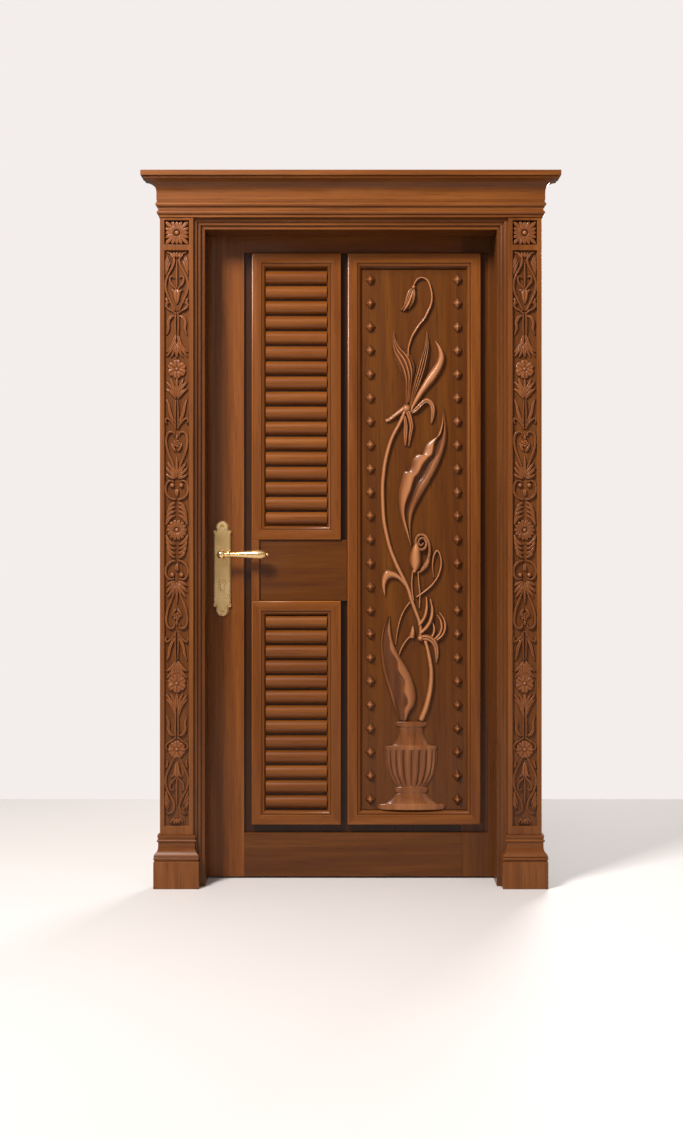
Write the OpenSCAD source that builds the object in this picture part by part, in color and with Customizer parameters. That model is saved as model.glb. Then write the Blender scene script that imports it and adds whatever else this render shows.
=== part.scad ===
// Carved wooden door with its frame: a leaf with louvres and a flower panel, between carved pilasters.
// Millimetres. X runs across the doorway, Y into the wall and Z up.
// The origin is the middle of the doorway, at the floor, in the front face of the wall.

/* [Leaf] */
// Width of the leaf
leaf_w = 962; // [900:1:1060]
// Height of the leaf
leaf_h = 2112; // [2000:1:2240]
// Thickness of the stiles and rails
leaf_t = 44; // [42:1:60]
// Gap between the edges of the leaf and the frame
leaf_gap = 3; // [2.5:0.5:4]
// Gap under the leaf
floor_gap = 6; // [4:1:12]
// Width of the stile that holds the lock
lock_stile_w = 131; // [125:1:150]
// Width of the stile that holds the hinges
hinge_stile_w = 118; // [100:1:140]
// Plain border of the hinge stile beside the sunk field
hinge_border = 31; // [26:1:45]
// Height of the top rail
top_rail_h = 67; // [55:1:110]
// Height of the bottom rail
bottom_rail_h = 143; // [110:1:200]
// Depth of the sunk field under the faces of the stiles
field_sink = 12; // [8:1:16]
// Thickness of the field panel
field_t = 24; // [16:1:26]

/* [Raised frames] */
// Thickness of the raised frames
raised_t = 24; // [22:1:30]
// Width of the raised stiles
raised_stile_w = 46; // [36:1:56]
// Height of the raised top rails
raised_top_h = 53; // [40:1:70]
// Height of the raised bottom rails
raised_bottom_h = 48; // [36:1:70]
// Height of the raised rails above and below the lock panel
raised_mid_h = 45; // [36:1:60]
// Groove between the lock stile and the louvre column
lock_groove = 25; // [15:1:40]
// Groove between the louvre column and the flower frame
middle_groove = 21; // [12:1:40]
// Groove between the flower frame and the hinge border
hinge_groove = 24; // [15:1:40]
// Groove over the bottom rail
bottom_groove = 28; // [15:1:50]
// Groove under the top rail
top_groove = 2; // [1:1:20]
// Width of the louvre column
louvre_column_w = 293; // [240:1:330]
// Height of the lower edge of the lock panel over the floor
lock_panel_z = 910; // [860:1:960]
// Height of the lock panel
lock_panel_h = 200; // [160:1:260]
// Thickness of the lock panel
lock_panel_t = 15; // [10:1:20]
// Edge strip of the outer stile that runs past the lock panel
edge_strip_w = 13; // [8:1:24]

/* [Louvres] */
// Distance from slat to slat
slat_pitch = 49; // [40:1:60]
// Gap between two slats
slat_gap = 6; // [2:0.5:8]
// How far a slat stands out
slat_bulge = 19; // [10:1:22]
// Gap at the ends of a slat
slat_end_gap = 0.5; // [0.2:0.1:3]

/* [Flower panel] */
// Thickness of the ground board
ground_t = 6; // [4:1:8]
// Height of the relief over the ground
relief_rise = 15; // [8:0.5:16]
// Width of a diamond stud
stud_w = 34; // [24:1:44]
// Height of a diamond stud
stud_h = 39; // [28:1:50]
// How far a stud stands out
stud_rise = 14; // [8:1:16]
// Distance from stud to stud
stud_pitch = 77.5; // [60:0.5:100]
// Distance of the outer studs from the edges of the ground
stud_inset = 29.5; // [24:0.5:40]

/* [Frame] */
// Width of a jamb, from the clear opening outwards
jamb_w = 57; // [50:1:90]
// Depth of the jambs
jamb_d = 150; // [130:1:220]
// How far the stop laps over the leaf
stop_lap = 13; // [10:1:16]
// Gap between the stop and the closed leaf
stop_gap = 1; // [0.5:0.5:3]
// Width of the architrave
architrave_w = 34; // [28:1:50]
// Projection of the architrave
architrave_t = 22; // [18:1:28]
// Radius of the wall fixing holes
fixing_r = 4; // [3:0.5:6]

/* [Pilasters] */
// Width of a pilaster
pilaster_w = 107; // [98:1:140]
// Projection of a pilaster
pilaster_t = 32; // [30:1:45]
// Width of the sunk panels
panel_w = 78; // [70:1:90]
// Depth of the sunk panels
panel_sink = 10; // [7:0.5:12]
// Plain band between the rosette and the carved strip
panel_band = 18; // [10:1:30]
// Plain margin above the rosette
panel_top = 9; // [5:1:20]
// Plain margin under the carved strip
panel_bottom = 28; // [15:1:50]
// Height of the plinth
plinth_h = 86; // [60:1:140]
// How far the plinth stands out
plinth_out = 19; // [15:1:26]
// Height of the scrollwork and the rosettes over their ground
scroll_rise = 8; // [5:0.5:9]

/* [Cornice] */
// Projection of the top fillet
crown_out = 55; // [50:1:70]
// Radius of the cove
cove_r = 38; // [30:1:44]
// Height of the top fillet
cap_h = 16; // [10:1:30]

/* [Lock and handles] */
// Height of the lever axis over the floor
lever_z = 1062; // [1000:1:1100]
// Distance of the lever axis from the edge of the leaf
backset = 60; // [55:1:64]
// Distance from the lever axis down to the key cylinder
key_drop = 92; // [85:1:92]
// Width of the long plates
plate_w = 56; // [46:1:60]
// Height of the long plates
plate_h = 312; // [290:1:330]
// Thickness of the long plates
plate_t = 7; // [6:0.5:9]
// Length of the lever from its axis to the tip
lever_l = 155; // [120:1:170]
// Distance of the lever's middle line from the plate
lever_stand = 42; // [36:1:55]
// Side of the square spindle
spindle_a = 8; // [7:0.5:9]
// Throw of the latch bolt
latch_throw = 12; // [8:0.5:12]

/* [Hinges] */
// Height of a hinge
hinge_h = 100; // [75:1:130]
// Depth of a hinge plate
hinge_d = 34; // [26:1:36]
// Thickness of a hinge plate
hinge_plate_t = 2.5; // [2:0.1:3.5]
// Radius of the knuckles
knuckle_r = 6.5; // [5.5:0.1:7.5]
// Radius of the hinge pins
pin_r = 2.5; // [2:0.1:3]
// Height of the lower hinge over the floor
hinge_z = 250; // [200:1:330]

/* [Hidden] */
$fn = 48;
// Play of turning and sliding pieces, and of pieces let into wood
run_gap = 0.08;
slide_gap = 0.3;
let_in_gap = 0.15;
overcut = 1;
wood = "#8a5730";
dark_wood = "#6f4020";
brass = "#c9a35a";
steel = "#9a9a98";

// Leaf and doorway
leaf_x0 = -leaf_w / 2;
leaf_x1 = leaf_w / 2;
leaf_z1 = floor_gap + leaf_h;
half_clear = leaf_x1 - stop_lap;
clear_h = leaf_z1 - stop_lap;
rebate_x = leaf_x1 + leaf_gap;
rebate_z = leaf_z1 + leaf_gap;
leaf_y0 = jamb_d - leaf_t;
lock_y = jamb_d - leaf_t / 2;
stop_d = leaf_y0 - stop_gap;
jamb_x1 = half_clear + jamb_w;
jamb_top = clear_h + jamb_w;
field_y = leaf_y0 + field_sink;
field_x0 = leaf_x0 + lock_stile_w;
field_x1 = leaf_x1 - hinge_border;
hinge_stile_x = leaf_x1 - hinge_stile_w;
field_z0 = floor_gap + bottom_rail_h;
field_z1 = leaf_z1 - top_rail_h;

// Raised work on the field
raised_z0 = field_z0 + bottom_groove;
raised_z1 = field_z1 - top_groove;
column_x0 = field_x0 + lock_groove;
column_x1 = column_x0 + louvre_column_w;
louvre_x0 = column_x0 + raised_stile_w;
louvre_x1 = column_x1 - raised_stile_w;
lock_panel_z1 = lock_panel_z + lock_panel_h;
upper_z0 = lock_panel_z1 + raised_mid_h;
upper_z1 = raised_z1 - raised_top_h;
lower_z0 = raised_z0 + raised_bottom_h;
lower_z1 = lock_panel_z - raised_mid_h;
flower_x0 = column_x1 + middle_groove;
flower_x1 = field_x1 - hinge_groove;
ground_x0 = flower_x0 + raised_stile_w;
ground_x1 = flower_x1 - raised_stile_w;
ground_w = ground_x1 - ground_x0;
ground_h = upper_z1 - lower_z0;
ground_y = field_y - ground_t;

// Pilasters and cornice
pilaster_x = half_clear + architrave_w + pilaster_w / 2;
pilaster_outer = pilaster_x + pilaster_w / 2;
base_h = 83;
base_top = plinth_h + base_h;
cornice_z = clear_h + architrave_w;
rosette_z1 = cornice_z - panel_top;
rosette_z0 = rosette_z1 - panel_w;
strip_z0 = base_top + panel_bottom;
strip_z1 = rosette_z0 - panel_band;
strip_h = strip_z1 - strip_z0;
panel_y = panel_sink - pilaster_t;
bed_h = 54;
crown_z = cornice_z + bed_h;
fascia_h = 24;
lip_h = 7;
crown_h = fascia_h + cove_r + lip_h + cap_h;

// Lock
lever_x = leaf_x0 + backset;
key_z = lever_z - key_drop;
forend_t = 3;
forend_w = 22;
forend_margin = 34;
case_behind = 26;
case_below = 38;
case_above = 42;
case_w = backset + case_behind;
case_t = 18;
case_wall = 1.5;
case_x0 = leaf_x0 + forend_t;
case_z0 = key_z - case_below;
case_z1 = lever_z + case_above;
latch_t = 12;
latch_h = 20;
bolt_t = 14;
bolt_h = 30;
bolt_l = 55;
bolt_throw = 20;
bolt_rise = 32;
bolt_z = key_z + bolt_rise;
key_r = 8.5;
plug_r = 6.5;
cam_r = 14.5;
cam_t = 9.4;
cam_room = 10;
hub_r = 10;
hub_neck_r = 8.5;
hub_room = 2;
latch_room = 3;
latch_l = backset - hub_r - latch_throw - latch_room;
lever_neck_r = 9;
lever_seat = 2;
spindle_cover = 12;
spindle_play = 4;
plate_end = 36;
bolt_r = 2;
plate_bolt_above = 26;
plate_bolt_below = 34;
plate_bolt_cover = 2;
screw_r = 2;
screw_head_r = 4;
screw_head_h = 2;
screw_l = 26;
strike_t = 2;
strike_w = 24;
strike_below = 12;
strike_above = 38;
strike_z0 = key_z - strike_below;
strike_z1 = lever_z + strike_above;
strike_screw_low = 8;
strike_screw_high = 12;
pocket_room = 8;

// Hinges
pin_x = leaf_x1 + leaf_gap / 2;
knuckle_out = 0.5;
pin_y = jamb_d + knuckle_r + knuckle_out;
hinge_zs = [hinge_z, leaf_z1 / 2, leaf_z1 - hinge_z];
knuckles = 5;
knuckle_gap = 0.3;
fixing_y = (stop_d + jamb_d) / 2;
fixing_out = 130;
fixing_in = 350;
fixing_zs = [
  hinge_z - fixing_out, hinge_z + fixing_in, leaf_z1 - hinge_z - fixing_in, leaf_z1 - hinge_z + fixing_out
];

function reversed(list) = [for (i = [len(list) - 1:-1:0]) list[i]];
function signed_area(p) =
  let (n = len(p))
  [for (i = [0:n - 1]) cross(p[i], p[(i + 1) % n])] * [for (i = [0:n - 1]) 0.5];

// Smooth curve through a list of points or numbers, t from 0 to 1
function curve(p, t) =
  let (
    n = len(p) - 1,
    s = min(t * n, n - 0.000001),
    i = floor(s),
    f = s - i,
    a = p[max(i - 1, 0)],
    b = p[i],
    c = p[i + 1],
    d = p[min(i + 2, n)]
  )
  0.5 * (2 * b + (c - a) * f + (2 * a - 5 * b + 4 * c - d) * f * f + (3 * b - a - 3 * c + d) * f * f * f);
function along(p, rings) = [for (i = [0:rings]) curve(p, i / rings)];
function course(p, t) = curve(p, min(t + 0.01, 1)) - curve(p, max(t - 0.01, 0));
function left_of(d) = [-d.y, d.x] / norm(d);

// Closed relief between two edges: each ring has its own rise, and the crown gives [place, height] across it
module relief(left, right, rises, crown) {
  clockwise = signed_area(concat(left, reversed(right))) < 0;
  a = clockwise ? left : right;
  b = clockwise ? right : left;
  n = len(a);
  k = len(crown) + 2;
  rings = [
    for (i = [0:n - 1])
      each concat(
        [[a[i].x, a[i].y, 0]],
        [for (c = crown) let (p = a[i] + (b[i] - a[i]) * c[0]) [p.x, p.y, rises[i] * c[1]]],
        [[b[i].x, b[i].y, 0]]
      )
  ];
  sides = [
    for (i = [0:n - 2], j = [0:k - 1])
      let (p = i * k + j, q = i * k + (j + 1) % k)
        each [[p, p + k, q + k], [p, q + k, q]]
  ];
  polyhedron(rings, concat(sides, [[for (j = [0:k - 1]) j]], [[for (j = [k - 1:-1:0]) (n - 1) * k + j]]));
}

ridge = [[0.5, 1]];
rounded = [[0.1, 0.6], [0.5, 1], [0.9, 0.6]];
fluted = [[0.06, 0.7], [0.25, 1], [0.5, 0.6], [0.75, 1], [0.94, 0.7]];
folded = [[0.05, 0.75], [0.2, 1], [0.4, 0.45], [0.8, 0.45], [0.92, 0.9]];

// Stem along a curve, with its widths and rises given at even steps
module stem(path, widths, rises, rings, crown = rounded) {
  sides = [for (i = [0:rings]) left_of(course(path, i / rings)) * curve(widths, i / rings) / 2];
  middle = along(path, rings);
  relief(middle + sides, middle - sides, along(rises, rings), crown);
}

// Leaf or petal between two drawn edges
module blade(left, right, rises, rings, crown = rounded) {
  relief(along(left, rings), along(right, rings), along(rises, rings), crown);
}

module both_sides() {
  children();
  mirror([1, 0, 0]) children();
}

module block(x0, x1, y0, y1, z0, z1) {
  translate([x0, y0, z0]) cube([x1 - x0, y1 - y0, z1 - z0]);
}

// Carving drawn flat in X and Y with its rise in Z, stood up with the rise towards the front
module on_face(x, y, z) {
  translate([x, y, z]) rotate([90, 0, 0]) children();
}

// Moulding that returns to the wall at both ends: the child is the profile outwards from the face
module returned_moulding(w, d, h, reach) {
  intersection() {
    translate([w / 2 + reach, 0, 0]) rotate([90, 0, -90]) linear_extrude(w + 2 * reach) {
      square([d, h]);
      translate([d, 0]) children();
    }
    rotate([90, 0, 0]) linear_extrude(d + reach) {
      translate([-w / 2, 0]) square([w, h]);
      translate([w / 2, 0]) children();
      mirror([1, 0]) translate([w / 2, 0]) children();
    }
  }
}

// Countersunk screw with its head flush at the origin, pointing along -Z
module countersunk(gap, length) {
  r = screw_r + gap;
  head = screw_head_r + gap;
  translate([0, 0, -screw_head_h - gap]) cylinder(r1 = r, r2 = head, h = screw_head_h + gap);
  translate([0, 0, -length - gap]) cylinder(r = r, h = length + gap);
}

// Frame

module jamb_blank() {
  difference() {
    block(half_clear, jamb_x1, 0, jamb_d, 0, jamb_top);
    block(half_clear - overcut, rebate_x, stop_d, jamb_d + overcut, -overcut, rebate_z);
    for (z = fixing_zs)
      translate([rebate_x - overcut, fixing_y, z]) rotate([0, 90, 0]) cylinder(r = fixing_r, h = jamb_w);
  }
}

module left_jamb() {
  color(wood) difference() {
    mirror([1, 0, 0]) jamb_blank();
    strike_outline(let_in_gap, strike_t + let_in_gap);
    strike_holes(bolt_throw + pocket_room);
    strike_screws(let_in_gap);
  }
}

module right_jamb() {
  color(wood) difference() {
    jamb_blank();
    for (z = hinge_zs)
      block(
        rebate_x - overcut, rebate_x + hinge_plate_t, jamb_d - hinge_d - let_in_gap, jamb_d + overcut,
        z - hinge_h / 2 - let_in_gap, z + hinge_h / 2 + let_in_gap
      );
    frame_hinge_screws(let_in_gap);
  }
}

module head_jamb() {
  color(wood) difference() {
    block(-half_clear, half_clear, 0, jamb_d, clear_h, jamb_top);
    block(-rebate_x, rebate_x, stop_d, jamb_d + overcut, clear_h - overcut, rebate_z);
  }
}

// Three steps that rise away from the opening, each with a rounded nose
module architrave_profile() {
  step = architrave_w / 3;
  drop = architrave_t / 3;
  nose = 3;
  for (i = [0:2]) {
    translate([i * step + (i == 0 ? 0 : nose), -drop * (i + 1)])
      square([architrave_w - i * step - (i == 0 ? 0 : nose), drop * (i + 1)]);
    if (i > 0) {
      translate([i * step, nose - drop * (i + 1)]) square([nose, drop * (i + 1) - nose]);
      translate([i * step + nose, nose - drop * (i + 1)]) circle(r = nose);
    }
  }
}

module side_architrave() {
  outer = half_clear + architrave_w;
  difference() {
    intersection() {
      translate([half_clear, 0, 0]) linear_extrude(cornice_z) architrave_profile();
      rotate([90, 0, 0]) linear_extrude(architrave_t + overcut)
        polygon([[half_clear, 0], [outer, 0], [outer, cornice_z], [half_clear, clear_h]]);
    }
    plinth_block();
    base_moulding();
  }
}

module left_architrave() { color(wood) mirror([1, 0, 0]) side_architrave(); }
module right_architrave() { color(wood) side_architrave(); }

module head_architrave() {
  outer = half_clear + architrave_w;
  color(wood) intersection() {
    translate([outer, 0, clear_h]) rotate([0, -90, 0]) linear_extrude(2 * outer) architrave_profile();
    rotate([90, 0, 0]) linear_extrude(architrave_t + overcut)
      polygon([[-half_clear, clear_h], [half_clear, clear_h], [outer, cornice_z], [-outer, cornice_z]]);
  }
}

module pilaster_shaft() {
  x0 = pilaster_x - pilaster_w / 2;
  difference() {
    block(x0, pilaster_outer, -pilaster_t, 0, base_top, cornice_z);
    for (z = [[strip_z0, strip_z1], [rosette_z0, rosette_z1]])
      block(pilaster_x - panel_w / 2, pilaster_x + panel_w / 2, -pilaster_t - overcut, panel_y, z[0], z[1]);
  }
}

module left_pilaster() { color(wood) mirror([1, 0, 0]) pilaster_shaft(); }
module right_pilaster() { color(wood) pilaster_shaft(); }

module plinth_block() {
  half = pilaster_w / 2 + plinth_out;
  block(pilaster_x - half, pilaster_x + half, -pilaster_t - plinth_out, 0, 0, plinth_h);
}

module left_plinth() { color(wood) mirror([1, 0, 0]) plinth_block(); }
module right_plinth() { color(wood) plinth_block(); }

// Base of a pilaster: a roll, a flare, a neck with its bead and a top fillet
module base_profile() {
  roll_r = 7;
  roll_z = 10;
  flare_z = 17;
  neck_z = 48;
  neck_out = 5;
  flare_r = 39;
  bead_r = 4;
  bead_z = 65;
  square([plinth_out - 4, roll_z - roll_r + 1]);
  square([plinth_out - roll_r, flare_z]);
  translate([plinth_out - roll_r, roll_z]) circle(r = roll_r);
  difference() {
    translate([0, flare_z]) square([plinth_out, neck_z - flare_z]);
    translate([neck_out + flare_r, neck_z]) circle(r = flare_r);
  }
  square([neck_out, base_h]);
  translate([neck_out, bead_z]) circle(r = bead_r);
  translate([0, base_h - 8]) square([neck_out + 2, 8]);
}

module base_moulding() {
  translate([pilaster_x, 0, plinth_h]) returned_moulding(pilaster_w, pilaster_t, base_h, plinth_out + overcut)
    base_profile();
}

module left_base() { color(wood) mirror([1, 0, 0]) base_moulding(); }
module right_base() { color(wood) base_moulding(); }

// Under part of the cornice: a neck, a bead, a fillet and a larger bead under a flat band
module bed_profile() {
  neck = 3;
  neck_h = 8;
  bead_r = 6.5;
  fillet = 5;
  roll_r = 8;
  band = 9;
  band_h = 6;
  square([neck, bed_h]);
  translate([neck, neck_h + bead_r]) circle(r = bead_r);
  translate([0, neck_h + 2 * bead_r]) square([fillet, bed_h - neck_h - 2 * bead_r]);
  translate([fillet, bed_h - band_h - roll_r]) circle(r = roll_r);
  translate([0, bed_h - band_h]) square([band, band_h]);
}

module bed_mould() {
  color(wood) translate([0, 0, cornice_z])
    returned_moulding(2 * pilaster_outer, pilaster_t, bed_h, crown_out) bed_profile();
}

// Upper part of the cornice: a low fascia, the cove, a small fillet and the top fillet
module crown_profile() {
  lip = crown_out - lip_h;
  square([lip - cove_r, fascia_h]);
  difference() {
    translate([0, fascia_h]) square([lip, cove_r]);
    translate([lip, fascia_h]) circle(r = cove_r);
  }
  translate([0, fascia_h + cove_r]) square([lip, lip_h]);
  translate([0, fascia_h + cove_r + lip_h]) square([crown_out, cap_h]);
}

module crown() {
  color(wood) translate([0, 0, crown_z])
    returned_moulding(2 * pilaster_outer, pilaster_t, crown_h, crown_out + overcut) crown_profile();
}

// Scrollwork of the pilasters: each motif is drawn once, in millimetres from the daisy near the middle.
// The drawing reaches from the tips of the end leaves in height, and from the wreath in width.
end_leaf = [[0, 840], [0, 852], [0, 862], [0, 872]];
wreath = [[4, 92], [22, 76], [34, 48], [35, 14]];
upper_shift = 14;
lower_shift = 66;
lower_spray_shift = -8;
lower_flower_v = 701;
end_margin = 6.5;
big_flower_v = 500;
edge_margin = 4;
daisy_v = end_leaf[3].y + lower_shift + end_margin;
scroll_drawing_h = daisy_v + end_leaf[3].y + upper_shift + end_margin;
scroll_drawing_w = 2 * (wreath[3].x + edge_margin);
scroll_sx = panel_w / scroll_drawing_w;
scroll_sy = strip_h / scroll_drawing_h;

module scroll(path, rings, w = 7) {
  stem(path, [w * 0.7, w, w * 0.4], [1, 1, 0.5] * scroll_rise, rings, ridge);
}

module leaf(path, w) {
  stem(path, [w * 0.35, w, w * 0.9, w * 0.15], [0.6, 1, 0.9, 0.3] * scroll_rise, 3, ridge);
}

module stalk(v0, v1) {
  stem([[0, v0], [0, v1]], [6, 6], [1, 1] * scroll_rise, 1, ridge);
}

function spoke(turn, d, h) = [d * cos(turn), d * sin(turn), h];

// Open flower in one piece: the outline runs in and out, and a ridge climbs along each petal to the middle
module petals_round(count, r, rise) {
  n = 2 * count;
  step = 180 / count;
  notch = 0.72;
  crest_place = 0.6;
  valley = 0.4;
  hollow = 0.6;
  outline = [for (i = [0:n - 1]) spoke(i * step, i % 2 == 0 ? r : r * notch, 0)];
  crest = [for (i = [0:n - 1]) spoke(i * step, r * crest_place, rise * (i % 2 == 0 ? 1 : valley))];
  slopes = [
    for (i = [0:n - 1])
      let (j = (i + 1) % n)
        each [[i, n + i, n + j], [i, n + j, j], [n + i, 2 * n, n + j]]
  ];
  polyhedron(concat(outline, crest, [[0, 0, rise * hollow]]), concat([[for (i = [0:n - 1]) i]], slopes));
}

module bead(r, rise) {
  hull() {
    cylinder(r = r, h = rise * 0.6, $fn = 5);
    cylinder(r = r * 0.5, h = rise, $fn = 5);
  }
}

module flower(v, petals, r, hub) {
  translate([0, v, 0]) {
    petals_round(petals, r, scroll_rise * 0.8);
    bead(hub, scroll_rise);
  }
}

module daisy_wreath() {
  scroll(wreath, 4, 8);
  leaf([[4, 76], [16, 64], [24, 46], [28, 28]], 13);
}

module double_scroll() {
  scroll([[4, 94], [18, 98], [32, 110], [31, 126], [20, 130], [15, 121], [21, 116]], 5);
  translate([22, 121, 0]) bead(5, scroll_rise);
}

module leaf_fan() {
  leaf([[4, 146], [14, 156], [26, 174], [35, 196]], 13);
}

module heart() {
  scroll([[4, 200], [20, 210], [33, 236], [28, 266], [12, 288], [4, 306]], 5);
}

module tendrils() {
  scroll([[4, 322], [18, 330], [33, 348], [32, 368], [21, 370], [20, 358]], 5, 6);
  leaf([[4, 366], [14, 378], [26, 384], [35, 400]], 11);
  leaf([[4, 412], [12, 430], [24, 444], [34, 454]], 13);
}

module palmette() {
  leaf([[4, 532], [12, 540], [24, 542], [35, 552]], 12);
  leaf([[4, 536], [10, 552], [20, 562], [30, 576]], 13);
  scroll([[4, 606], [18, 610], [33, 626], [33, 646], [22, 650], [19, 638]], 5, 6);
}

module lyre() {
  scroll([[4, 672], [18, 684], [34, 714], [32, 748], [16, 776], [4, 792], [12, 814], [35, 830]], 6);
  leaf([[4, 780], [10, 762], [15, 744], [12, 722]], 11);
}

module shell() {
  leaf([[4, 842], [12, 846], [18, 856], [20, 868]], 9);
  leaf([[6, 838], [20, 838], [28, 846], [34, 860]], 9);
}

// From the daisy to one end of the strip: the spray shifts to make room for a flower,
// and the lyre shifts to reach the end
module half_strip(spray_shift, end_shift) {
  both_sides() {
    daisy_wreath();
    double_scroll();
    leaf_fan();
    heart();
    tendrils();
    translate([0, spray_shift]) palmette();
    translate([0, end_shift]) {
      lyre();
      shell();
    }
  }
  leaf([[0, 98], [0, 116], [0, 132], [0, 152]], 14);
  leaf([[0, 156], [0, 172], [0, 190], [0, 206]], 12);
  flower(242, 6, 15, 5);
  stalk(300, 464);
  flower(big_flower_v, 6, 28, 9);
  translate([0, spray_shift]) {
    leaf([[0, 540], [0, 556], [0, 574], [0, 594]], 13);
    stalk(588, 676);
  }
  translate([0, end_shift]) {
    leaf([[0, 776], [0, 752], [0, 728], [0, 704]], 11);
    leaf(end_leaf, 9);
  }
}

module scrollwork() {
  on_face(pilaster_x, panel_y, strip_z0) scale([scroll_sx, scroll_sy, 1]) translate([0, daisy_v, 0]) {
    flower(0, 12, 31, 10);
    half_strip(upper_shift, upper_shift);
    mirror([0, 1, 0]) {
      half_strip(lower_spray_shift, lower_shift);
      flower(lower_flower_v, 7, 26, 9);
    }
  }
}

module left_scrollwork() { color(dark_wood) mirror([1, 0, 0]) scrollwork(); }
module right_scrollwork() { color(dark_wood) scrollwork(); }

// Square block with a sunburst of petals round a boss, and a spray of three small leaves in each corner
module rosette() {
  petals = 16;
  block_t = 2.5;
  edge = panel_w / 2 - let_in_gap;
  corner = edge * sqrt(2);
  on_face(pilaster_x, panel_y, (rosette_z0 + rosette_z1) / 2) {
    translate([-edge, -edge, 0]) cube([2 * edge, 2 * edge, block_t]);
    petals_round(petals, edge * 0.9, scroll_rise * 0.9);
    bead(edge * 0.24, scroll_rise);
    for (i = [0:3], turn = [-24, 0, 24])
      rotate(45 + 90 * i) translate([corner - 2, 0, 0]) rotate(turn) hull() {
        translate([-2, 0, 0]) cylinder(r = 1.5, h = scroll_rise * 0.5, $fn = 3);
        translate([-12, 0, 0]) cylinder(r1 = 2.6, r2 = 1, h = scroll_rise * 0.7, $fn = 4);
      }
  }
}

module left_rosette() { color(dark_wood) mirror([1, 0, 0]) rosette(); }
module right_rosette() { color(dark_wood) rosette(); }

// Strike plate in the lock jamb, and the pockets behind it

module strike_outline(gap, depth) {
  front = gap > 0 ? overcut : 0;
  half = strike_w / 2 + gap;
  block(-rebate_x - depth, front - rebate_x, lock_y - half, lock_y + half, strike_z0 - gap, strike_z1 + gap);
}

module strike_holes(depth) {
  play = 1;
  for (b = [[lever_z, latch_t, latch_h], [bolt_z, bolt_t, bolt_h]])
    block(
      -rebate_x - depth, -rebate_x + overcut, lock_y - b[1] / 2 - play, lock_y + b[1] / 2 + play,
      b[0] - b[2] / 2 - play, b[0] + b[2] / 2 + play
    );
}

module strike_screws(gap) {
  for (z = [strike_z0 + strike_screw_low, strike_z1 - strike_screw_high])
    translate([-rebate_x, lock_y, z]) rotate([0, 90, 0]) countersunk(gap, screw_l);
}

module strike_plate() {
  color(steel) difference() {
    strike_outline(0, strike_t);
    strike_holes(strike_t + overcut);
    strike_screws(run_gap);
  }
}

module frame_screws() {
  color(steel) {
    strike_screws(0);
    frame_hinge_screws(0);
  }
}

// Hinges: the frame plate has the odd knuckles, the leaf plate the even ones

module hinge_screw_places() {
  for (z = hinge_zs, s = [-1, 1]) {
    translate([0, jamb_d - hinge_d * 0.7, z + s * hinge_h * 0.38]) children();
    translate([0, jamb_d - hinge_d * 0.36, z + s * hinge_h * 0.14]) children();
  }
}

module frame_hinge_screws(gap) {
  hinge_screw_places() translate([rebate_x, 0, 0]) rotate([0, -90, 0]) countersunk(gap, screw_l);
}

module leaf_hinge_screws(gap) {
  hinge_screw_places() translate([leaf_x1, 0, 0]) rotate([0, 90, 0]) countersunk(gap, screw_l);
}

module hinge_knuckles(first) {
  pitch = hinge_h / knuckles;
  for (i = [first:2:knuckles - 1])
    translate([pin_x, pin_y, i * pitch - hinge_h / 2 + knuckle_gap / 2])
      cylinder(r = knuckle_r, h = pitch - knuckle_gap);
}

module knuckle_tabs(x, first) {
  pitch = hinge_h / knuckles;
  for (i = [first:2:knuckles - 1])
    translate([x, jamb_d - overcut, i * pitch - hinge_h / 2 + knuckle_gap / 2])
      cube([hinge_plate_t, pin_y - jamb_d + overcut, pitch - knuckle_gap]);
}

module hinge_plate(x, first) {
  difference() {
    union() {
      block(x, x + hinge_plate_t, jamb_d - hinge_d, jamb_d - overcut / 2, -hinge_h / 2, hinge_h / 2);
      knuckle_tabs(x, first);
      hinge_knuckles(first);
    }
    translate([pin_x, pin_y, -hinge_h]) cylinder(r = pin_r + run_gap, h = 2 * hinge_h);
  }
}

module hinge_frame_plates() {
  color(brass) difference() {
    for (z = hinge_zs)
      translate([0, 0, z]) hinge_plate(rebate_x, 0);
    frame_hinge_screws(run_gap);
  }
}

module hinge_leaf_plates() {
  color(brass) difference() {
    for (z = hinge_zs)
      translate([0, 0, z]) hinge_plate(leaf_x1 - hinge_plate_t, 1);
    leaf_hinge_screws(run_gap);
  }
}

module hinge_pins() {
  head_h = 3;
  head_r = knuckle_r - 1.3;
  color(brass)
    for (z = hinge_zs)
      translate([pin_x, pin_y, z]) {
        translate([0, 0, -hinge_h / 2]) cylinder(r = pin_r, h = hinge_h);
        for (s = [-1, 1])
          translate([0, 0, s * (hinge_h + head_h) / 2]) cylinder(r = head_r, h = head_h, center = true);
      }
}

// Leaf

module lock_stile() {
  case_half = case_t / 2 + slide_gap;
  forend_half = forend_w / 2 + let_in_gap;
  color(wood) difference() {
    block(leaf_x0, field_x0, leaf_y0, jamb_d, floor_gap, leaf_z1);
    block(
      leaf_x0 - overcut, case_x0 + case_w + slide_gap, lock_y - case_half, lock_y + case_half,
      case_z0 - slide_gap, case_z1 + slide_gap
    );
    block(
      leaf_x0 - overcut, case_x0, lock_y - forend_half, lock_y + forend_half,
      case_z0 - forend_margin - let_in_gap, case_z1 + forend_margin + let_in_gap
    );
    through_leaf(lever_z) circle(r = hub_neck_r + hub_room);
    through_leaf(key_z) key_outline(overcut);
    plate_bolt_holes(overcut / 2);
    forend_screws(let_in_gap);
  }
}

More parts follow.
